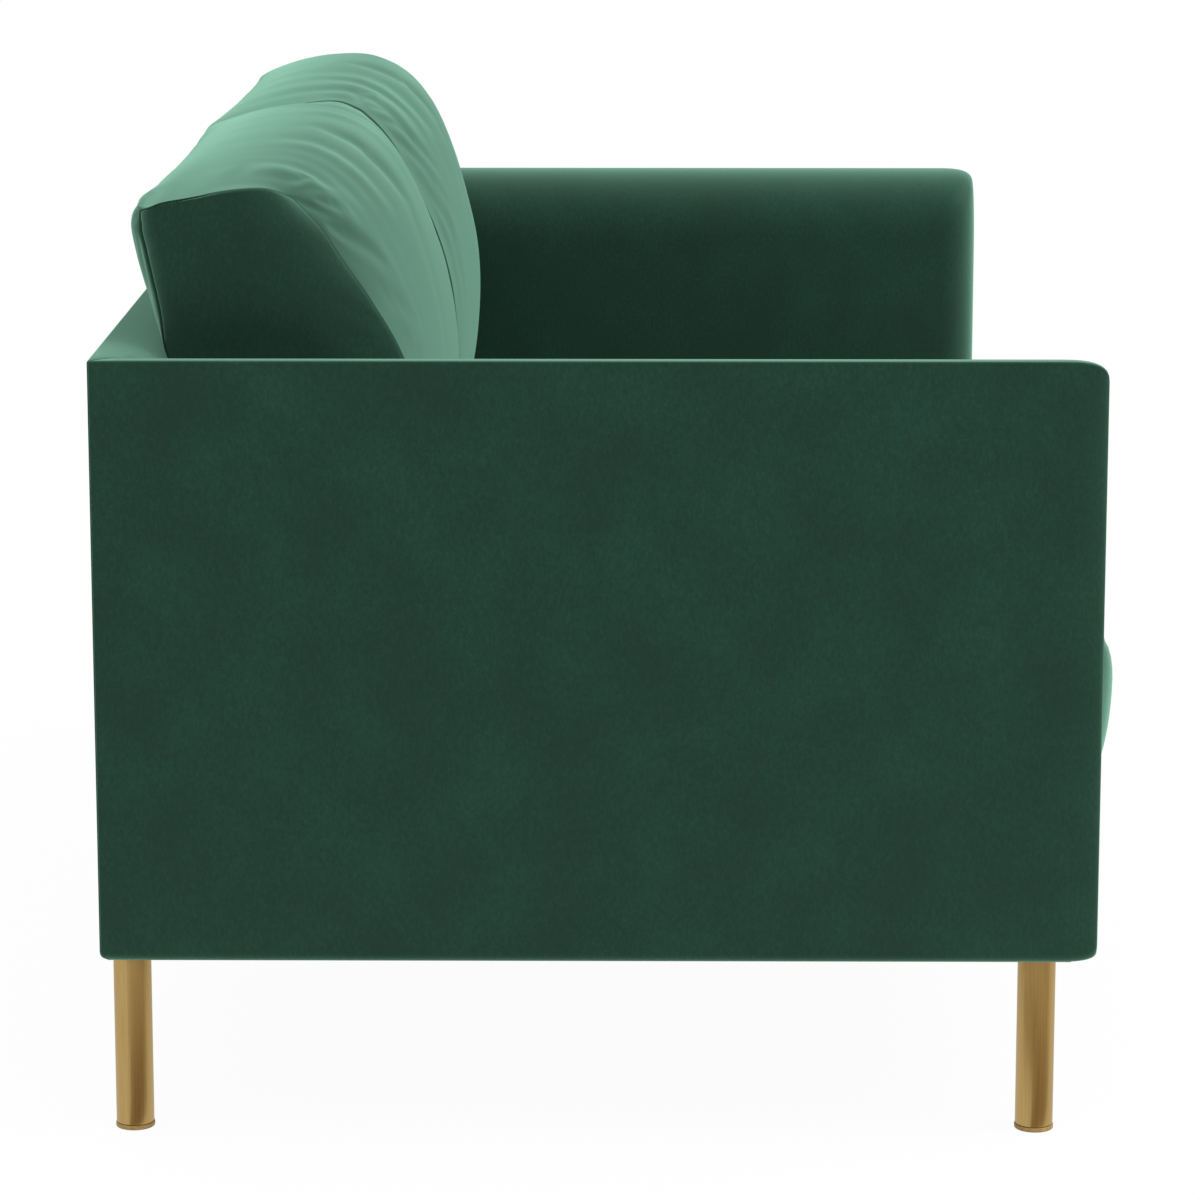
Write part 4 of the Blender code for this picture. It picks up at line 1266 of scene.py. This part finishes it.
# %% Sew the end panels
SEAM_DEPTHS = (1.3 * MM, 0.3 * MM)
SEAM_CHANGE = 40 * MM


def mark_seams(form, grid):
    on_end, on_side = end_and_side(*grid)
    ring = on_end & on_side
    for edge in form.data.edges:
        edge.use_seam = bool(ring[edge.vertices[0]] and ring[edge.vertices[1]])


def sew_seams(form, rear):
    """Draws the marked edges in, in a valley that is deepest behind a place along y."""
    apply_modifier(form, "SUBSURF", levels=1, render_levels=1)
    mesh = form.data
    marked = np.zeros(len(mesh.edges), bool)
    mesh.edges.foreach_get("use_seam", marked)
    pairs = np.zeros(len(mesh.edges) * 2, int)
    mesh.edges.foreach_get("vertices", pairs)
    pairs = pairs.reshape(-1, 2)
    points = points_of(form)
    sewn = np.zeros(len(points), bool)
    sewn[pairs[marked].ravel()] = True
    beside = np.zeros_like(points)
    count = np.zeros(len(points))
    for here, there in (pairs.T, pairs.T[::-1]):
        crosses = sewn[here] & ~sewn[there]
        np.add.at(beside, here[crosses], points[there[crosses]])
        np.add.at(count, here[crosses], 1)
    sewn &= count == 2
    depth = np.interp(rear - points[:, 1], [0, SEAM_CHANGE], SEAM_DEPTHS)
    drawn_in = beside / np.maximum(count, 1)[:, None] - normals_of(form) * depth[:, None]
    points[sewn] = drawn_in[sewn]
    move_points(form, points)


print("seams are", [round(1000 * depth, 1) for depth in SEAM_DEPTHS], "mm deep at the rear and elsewhere")

# %% [markdown]
# Every cover has a zip in its rear face, low down, where nobody sees it until the cushion is lifted. The
# rear face is flat there, so four cuts mark the slot and an extrusion sinks it.

# %% Cut the slot for the zip
SLOT_ROOM = 1 * MM
SLOT_DEPTH = 5 * MM
SLOT_AROUND = 12 * MM


def sink_zip_slot(cover, zip_node):
    low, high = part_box(zip_node)
    low = low - Vector((SLOT_ROOM, 0, SLOT_ROOM))
    high = high + Vector((SLOT_ROOM, 0, SLOT_ROOM))

    def at_slot(middle, normal, room):
        beside = low.x - room < middle.x < high.x + room and low.z - room < middle.z < high.z + room
        return beside and normal.y > 0.8

    for axis, place in ((0, low), (0, high), (2, low), (2, high)):
        way = Vector((0, 0, 0))
        way[axis] = 1
        pick(cover, "FACE", lambda middle, normal: at_slot(middle, normal, SLOT_AROUND))
        bpy.ops.mesh.bisect(plane_co=place, plane_no=way)
    pick(cover, "FACE", lambda middle, normal: at_slot(middle, normal, 0))
    bpy.ops.mesh.extrude_region_move(TRANSFORM_OT_translate={"value": (0, -SLOT_DEPTH, 0)})
    object_mode()


print("a zip's slot is", round(1000 * SLOT_DEPTH), "mm deep")

# %% [markdown]
# Inside each cover lies a filling of foam. It has the cushion's own form, drawn in on all sides, so a
# coarser block is spread in the same way and its points are moved inwards.

# %% Make a filling
FILLING_MESH = 24 * MM
FILLING_INSET = 15 * MM


def make_filling(name, shape):
    filling, grid = cushion_form(f"{name}_filling", f"{name}_cover", shape, FILLING_MESH)
    points = points_of(filling) - normals_of(filling) * FILLING_INSET
    low, high = points[:, 0].min(), points[:, 0].max()
    move_points(filling, points)
    apply_modifier(filling, "SUBSURF", levels=1, render_levels=1)
    smooth(filling, 50)
    give(filling, foam)
    declare(filling, name, "foam", f"{name}_core")
    print(filling.name, f"{1000 * (high - low):.0f} mm wide,", faces_in(filling), "faces")


def finish_cushion(form, name, shape):
    """Sinks the slot for the zip, gives a cover its velvet and puts the filling inside."""
    sink_zip_slot(form, f"{name}_zip")
    smooth(form, 60)
    give(form, velvet)
    declare(form, name, "velvet", f"{name}_cover")
    make_filling(name, shape)


print("fillings lie", round(1000 * FILLING_INSET), "mm inside their covers")

# %% [markdown]
# ### Seat cushions
#
# The seat cushions are full and firm. Their fronts bulge past the arms, and the rear of each is kept flat,
# because a back cushion stands on it. The short folds lie across the front edge, near the ends.

# %% Make the seat cushions
SEAT_MESH = 12 * MM
SEAT_LENGTHS = (0.16, 0.73, 0.19)
SEAT_EDGE = SEAT_LENGTHS[1]
SEAT_FOLDS = {
    "starts": (SEAT_EDGE - 0.26, SEAT_EDGE - 0.07),
    "stops": (SEAT_EDGE + 0.06, SEAT_EDGE + 0.17),
    "count": 14,
}
SEAT_FOOT_HOLD = 6 * MM
SEAT_REAR_HOLD = 100 * MM
UNDER_BACK_DEPTH = 296 * MM
UNDER_BACK_HEIGHT = 433 * MM
SEAT_SEAM_REAR = 40 * MM
FREE_FADE = 40 * MM
FREE_ROOM = 9 * MM
MIDDLE_REACH = 20 * MM


def keep_inside(form, node, free_above=None):
    """Presses a cushion flat against its neighbours, apart from what stands free above a height."""
    low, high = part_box(node)
    points = points_of(form)
    free = 0
    if free_above is not None:
        free = np.clip((points[:, 2] - free_above) / FREE_FADE, 0, 1) * FREE_ROOM
    room = np.where(points[:, 0] * (low.x + high.x) > 0, free, 0)
    room = np.where(np.abs(points[:, 0]) < MIDDLE_REACH, NEIGHBOUR_ROOM, room)
    points[:, 0] = np.clip(points[:, 0], low.x - room, high.x + room)
    move_points(form, points)


def make_seat_cushion(side, seed):
    name = f"{side}_seat_cushion"
    form, grid = cushion_form(f"{name}_velvet", f"{name}_cover", SEAT_SHAPE, SEAT_MESH)
    mark_seams(form, grid)
    draw_folds(form, grid, SEAT_LENGTHS, seed=seed, **SEAT_FOLDS)
    points = points_of(form)
    on_end, on_side = end_and_side(*grid)
    forward = y_back - points[:, 1]
    rests = (points[:, 2] < deck_high.z + SEAT_FOOT_HOLD) | (forward < SEAT_REAR_HOLD)
    rests |= (forward < UNDER_BACK_DEPTH) & (points[:, 2] > UNDER_BACK_HEIGHT)
    let_settle(form, rests | (on_end & on_side), slack=0.03, pressure=2.5)
    keep_inside(form, f"{name}_cover")
    sew_seams(form, y_in - SEAT_SEAM_REAR)
    finish_cushion(form, name, SEAT_SHAPE)
    return form


seats = [make_seat_cushion("left", seed=11), make_seat_cushion("right", seed=12)]
print("seat cushions:", faces_in(*seats), "faces")

# %% [markdown]
# ### Back cushions
#
# The back cushions are softer. They are pinned where they stand on the seat and lean on the back, and
# everything above is free to swell and fold. The two press into each other, so the joint between them
# winds a little and nobody can look through it. It winds along the depth only, so either cushion can still
# be lifted past the other.

# %% Make the back cushions
BACK_MESH = 8 * MM
BACK_LENGTHS = (0.40, 0.18, 0.42)
BACK_FOLDS = {"starts": (-0.07, 0.06), "stops": (0.22, 0.46), "count": 24}
LEAN_DEPTH = 94 * MM
LEAN_HEIGHT = 660 * MM
STAND_HEIGHT = 440 * MM
LEAN_CLEARANCE = 2.5 * MM
BACK_SEAM_REAR = 75 * MM
FREE_FROM_ARM = 5 * MM
JOINT_WAVE = 2.5 * MM
JOINT_PITCH = 130 * MM
JOINT_REACH = 30 * MM


def keep_off_back_roll(form):
    """Lifts what would sink into the roll on top of the sofa's back."""
    points = points_of(form)
    inward = np.clip((y_back - points[:, 1]) / (y_back - y_in), 0, 1)
    roll = z_arm - WALL_ROLL * (1 - np.sqrt(1 - inward**2)) + LEAN_CLEARANCE
    over = (y_back - points[:, 1] < y_back - y_in) & (points[:, 2] < roll)
    points[over, 2] = roll[over]
    move_points(form, points)


def wind_joint(form):
    """Shifts what lies near the sofa's middle sideways, in a wave along the depth."""
    points = points_of(form)
    close = np.clip(1 - np.abs(points[:, 0]) / JOINT_REACH, 0, 1)
    points[:, 0] += JOINT_WAVE * np.sin(2 * math.pi * points[:, 1] / JOINT_PITCH) * close
    move_points(form, points)


def make_back_cushion(side, seed):
    name = f"{side}_back_cushion"
    form, grid = cushion_form(f"{name}_velvet", f"{name}_cover", BACK_SHAPE, BACK_MESH)
    mark_seams(form, grid)
    draw_folds(form, grid, BACK_LENGTHS, seed=seed, **BACK_FOLDS)
    points = points_of(form)
    on_end, on_side = end_and_side(*grid)
    leans = (y_back - points[:, 1] < LEAN_DEPTH) & (points[:, 2] < LEAN_HEIGHT)
    stands = points[:, 2] < STAND_HEIGHT
    let_settle(form, leans | stands | (on_end & on_side), slack=0.035, pressure=2.0)
    keep_inside(form, f"{name}_cover", free_above=z_arm + FREE_FROM_ARM)
    keep_off_back_roll(form)
    sew_seams(form, y_back - BACK_SEAM_REAR)
    wind_joint(form)
    finish_cushion(form, name, BACK_SHAPE)
    return form


backs = [make_back_cushion("left", seed=3), make_back_cushion("right", seed=8)]
print("back cushions:", faces_in(*backs), "faces")

# %% [markdown]
# ### Zips
#
# A zip is two tapes with a row of teeth between them and a slider with a pull. One tooth is modelled and
# an Array modifier repeats it, once for each tape, half a step apart. The slider is a block with a waist,
# and its pull a thin plate with a hole.

# %% Teeth of a zip
TOOTH_PITCH = 3 * MM
TOOTH_SIZE = Vector((1.6, 1.4, 2.2)) * MM
TOOTH_OVERLAP = 0.5 * MM
TOOTH_TIP = {"inset": 0.3 * MM, "rise": 0.2 * MM}
TEETH_FROM_END = 5 * MM
TEETH_FREE = 12 * MM
TAPE_THICK = 1.2 * MM
zip_low, zip_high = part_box("left_back_cushion_zip")
zip_middle = (zip_low + zip_high) / 2
zip_face = zip_low.y + TAPE_THICK


def make_teeth(name, tape_side, shift):
    """A row of teeth on one tape: +1 is the upper tape and -1 the lower."""
    count = int((zip_high.x - zip_low.x - TEETH_FREE) / TOOTH_PITCH)
    start = Vector((zip_low.x + TEETH_FROM_END + shift, zip_face, zip_middle.z))
    reach = Vector((TOOTH_SIZE.x, TOOTH_SIZE.y, tape_side * TOOTH_SIZE.z))
    corners = [start, start + reach]
    low = Vector([min(pair) for pair in zip(*corners)])
    high = Vector([max(pair) for pair in zip(*corners)])
    tooth = add_block(name, low - Vector((0, 0, TOOTH_OVERLAP)), high)
    pick(tooth, "FACE", lambda middle, normal: normal.y > 0.9)
    bpy.ops.mesh.inset(thickness=TOOTH_TIP["inset"])
    bpy.ops.transform.translate(value=(0, TOOTH_TIP["rise"], 0))
    object_mode()
    apply_modifier(
        tooth, "ARRAY", count=count, use_relative_offset=False, use_constant_offset=True,
        constant_offset_displace=(TOOTH_PITCH, 0, 0),
    )
    return tooth


print("teeth every", round(1000 * TOOTH_PITCH), "mm")

# %% Slider of a zip
SLIDER_FROM_END = 14 * MM
SLIDER_LOW = Vector((-5, 0.2, -3.2)) * MM
SLIDER_HIGH = Vector((5, 2.2, 3.2)) * MM
SLIDER_WAIST = 0.25
PULL_LOW = Vector((2, 2.2, -2)) * MM
PULL_HIGH = Vector((22, 2.9, 2)) * MM
PULL_RIM = 1.1 * MM


def make_slider():
    """The slider at one end of the zip, with a pull that lies along the teeth."""
    centre = Vector((zip_low.x + SLIDER_FROM_END, zip_face, zip_middle.z))
    body = add_block("slider", centre + SLIDER_LOW, centre + SLIDER_HIGH)
    add_rows(body, 0, 4)
    points = points_of(body)
    along = (points[:, 0] - centre.x) / SLIDER_HIGH.x
    waist = 1 - SLIDER_WAIST * np.cos(along * math.pi / 2)
    points[:, 2] = centre.z + (points[:, 2] - centre.z) * waist
    move_points(body, points)
    soften_corners(body, 0.4 * MM, segments=2)
    pull = add_block("pull", centre + PULL_LOW, centre + PULL_HIGH)
    pick(pull, "FACE", lambda middle, normal: abs(normal.y) > 0.9)
    bpy.ops.mesh.inset(thickness=PULL_RIM, use_individual=True)
    bpy.ops.mesh.bridge_edge_loops()
    soften_corners(pull, 0.2 * MM, segments=2)
    return join("slider", [body, pull])


print("a slider is", round(1000 * (SLIDER_HIGH.x - SLIDER_LOW.x)), "mm long")

# %% Make one zip and copy it
def make_zip():
    name = "left_back_cushion_zip_chain"
    tape = add_block(name, zip_low, (zip_high.x, zip_face, zip_high.z))
    add_rows(tape, 0, 60)
    soften_corners(tape, 0.3 * MM, segments=2)
    give(tape, zip_tape, zip_nylon)
    teeth = [make_teeth("teeth", 1, 0), make_teeth("teeth", -1, TOOTH_PITCH / 2)]
    hard = [*teeth, make_slider()]
    for piece in hard:
        give(piece, zip_nylon)
    chain = join(name, [tape, *hard])
    smooth(chain, 40)
    return chain


chain = make_zip()
for side in ("left", "right"):
    for kind in ("back", "seat"):
        name = f"{side}_{kind}_cushion"
        low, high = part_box(f"{name}_zip")
        piece = chain
        if name != "left_back_cushion":
            piece = copy_of(chain, f"{name}_zip_chain", (low + high) / 2 - zip_middle)
        declare(piece, name, "zip", f"{name}_zip")
print("each zip has", faces_in(chain), "faces")

# %% [markdown]
# ## Finishes for the frame inside
#
# The timber, boards, webbing, springs and bolts keep their shapes from the construction and only get a
# finish. Each plank takes the pine whose grain runs along its longest side.

# %% Finish the inner pieces
FINISH_BY_WORD = {
    "board": hardboard, "webbing": webbing, "springs": zinc, "clip": zinc, "bolt": zinc,
}


def inner_finish(name):
    for word, material in FINISH_BY_WORD.items():
        if word in name:
            return material
    low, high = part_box(name)
    sides = list(high - low)
    return pine[sides.index(max(sides))]


kept = [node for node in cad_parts.values() if not node.hide_render]
for node in kept:
    give(node, inner_finish(node.name))
print("finished", len(kept), "pieces of the construction")

# %% [markdown]
# ## Camera and light
#
# The camera looks square at the sofa's left end from a little above, with a long lens. The studio is a
# pale floor and a white sky that light the sofa evenly, with one large soft lamp. To the camera and in
# reflections the floor and the sky look white, but they light the sofa at a plain level, and the floor
# keeps a trace of the shadow.

# %% Camera
CAMERA_PLACE = (-4.370, -0.012, 1.251)
CAMERA_TURN = 0.44
CAMERA_DIP = 10.67
CAMERA_LENS = 129.0
CAMERA_SHIFT = -0.08
nothing_selected()
bpy.ops.object.camera_add(
    location=CAMERA_PLACE, rotation=(math.radians(90 - CAMERA_DIP), 0, math.radians(-90 + CAMERA_TURN))
)
camera = bpy.context.object
camera.data.lens = CAMERA_LENS
camera.data.shift_y = CAMERA_SHIFT
bpy.context.scene.camera = camera
print("camera", round(camera.data.lens), "mm lens")

# %% Floor
FLOOR_SIZE = 80
FLOOR_WHITE = 0.96


def seen_directly(tree):
    """1 for rays from the camera and for reflected or refracted ones, 0 for light that falls on the sofa."""
    rays = add_node(tree, "ShaderNodeLightPath")
    seen = rays.outputs["Is Camera Ray"]
    for kind in ("Is Glossy Ray", "Is Transmission Ray"):
        both = add_node(
            tree, "ShaderNodeMath", {"operation": "MAXIMUM"}, input_0=seen, input_1=rays.outputs[kind]
        )
        seen = both.outputs[0]
    return seen


def make_floor():
    nothing_selected()
    bpy.ops.mesh.primitive_plane_add(size=FLOOR_SIZE)
    floor = settle("floor")
    material, tree, shader, place = new_material("pale_painted_floor", Roughness=0.9)
    grain = add_node(tree, "ShaderNodeTexNoise", Vector=place, Scale=per_mm(400), Detail=2.0)
    colour_between(tree, shader, grain.outputs[0], (0.3, "#ECECEB"), (0.7, "#F0F0EF"))
    share = add_node(
        tree, "ShaderNodeMath", {"operation": "MULTIPLY"}, input_0=seen_directly(tree), input_1=FLOOR_WHITE
    )
    glow = add_node(tree, "ShaderNodeEmission", Color=(1, 1, 1, 1), Strength=1.0)
    mix = add_node(
        tree, "ShaderNodeMixShader",
        input_0=share.outputs[0], input_1=shader.outputs[0], input_2=glow.outputs[0],
    )
    tree.links.new(mix.outputs[0], tree.nodes["Material Output"].inputs["Surface"])
    give(floor, material)
    floor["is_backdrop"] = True


make_floor()
print("floor", FLOOR_SIZE, "m wide")

# %% Sky and lamp
SKY_LOW = 0.5
SKY_HIGH = 1.42
LAMP_PLACE = (-1.2, -3.0, 3.2)
LAMP_AIM = Vector((0, 0, 0.4))
LAMP_SIZE = (3.0, 2.0)
LAMP_WATTS = 85


def make_sky():
    """A white sky to the eye; as a light it is brightest overhead and dimmer towards the horizon."""
    world = bpy.data.worlds.new("studio")
    bpy.context.scene.world = world
    world.use_nodes = True
    tree = world.node_tree
    around = add_node(tree, "ShaderNodeTexCoord")
    way = add_node(tree, "ShaderNodeSeparateXYZ", Vector=around.outputs["Generated"])
    light = add_node(
        tree, "ShaderNodeMapRange", {"interpolation_type": "SMOOTHSTEP"},
        Value=way.outputs["Z"], From_Min=0.0, From_Max=1.0, To_Min=SKY_LOW, To_Max=SKY_HIGH,
    )
    strength = add_node(
        tree, "ShaderNodeMix", Factor=seen_directly(tree), input_2=light.outputs[0], input_3=1.0,
    )
    background = tree.nodes["Background"]
    background.inputs["Color"].default_value = (1, 1, 1, 1)
    tree.links.new(strength.outputs[0], background.inputs["Strength"])


def make_lamp():
    bpy.ops.object.light_add(type="AREA", location=LAMP_PLACE)
    lamp = bpy.context.object
    lamp.data.shape = "RECTANGLE"
    lamp.data.size, lamp.data.size_y = LAMP_SIZE
    lamp.data.energy = LAMP_WATTS
    aim = LAMP_AIM - lamp.location
    lamp.rotation_euler = aim.to_track_quat("-Z", "Y").to_euler()


make_sky()
make_lamp()
print("lamp of", LAMP_WATTS, "W")

# %% [markdown]
# In an all-white studio polished metal looks flat, so photographers put up cards for it to reflect. Here a
# tan card lies on the floor in front of each of the two near legs. Only reflections see it, and it draws a
# brown band along the brass.

# %% Cards for the brass
CARD_FROM = 0.02
CARD_TO = 2.0
CARD_LIFT = 1 * MM
CARD_ANGLES = (-18, 80)


def make_card(name, leg):
    """A card that fans out from a leg's foot, between two distances and two angles."""
    centre = leg_centre(leg)
    nothing_selected()
    bpy.ops.mesh.primitive_plane_add(size=1, location=(centre.x, centre.y, CARD_LIFT))
    card = settle(name)
    points = points_of(card) - np.array((*centre.xy, 0))
    distance = np.where(points[:, 0] > 0, CARD_FROM, CARD_TO)
    angle = np.radians(np.where(points[:, 1] > 0, *CARD_ANGLES))
    moved = np.column_stack([centre.x - distance, centre.y - distance * np.tan(angle), points[:, 2]])
    move_points(card, moved)
    material, tree, shader, place = new_material("tan_card", Roughness=1.0)
    tooth = add_node(tree, "ShaderNodeTexNoise", Vector=place, Scale=per_mm(20), Detail=2.0)
    colour_between(tree, shader, tooth.outputs[0], (0.3, "#94806A"), (0.7, "#9E8972"))
    give(card, material)
    for kind in ("camera", "diffuse", "transmission", "volume_scatter", "shadow"):
        setattr(card, f"visible_{kind}", False)
    card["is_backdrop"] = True


for leg in LEG_NAMES:
    if "left" in leg:
        make_card(f"card_{leg}", leg)
bpy.context.scene.view_settings.view_transform = "Standard"
print("studio ready, colours shown by the", bpy.context.scene.view_settings.view_transform, "transform")

# %% [markdown]
# ## Size
#
# Last, the box of the dressed sofa is printed.

# %% Finish
low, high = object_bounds()
print("dressed box in mm:", [round(1000 * side) for side in high - low])
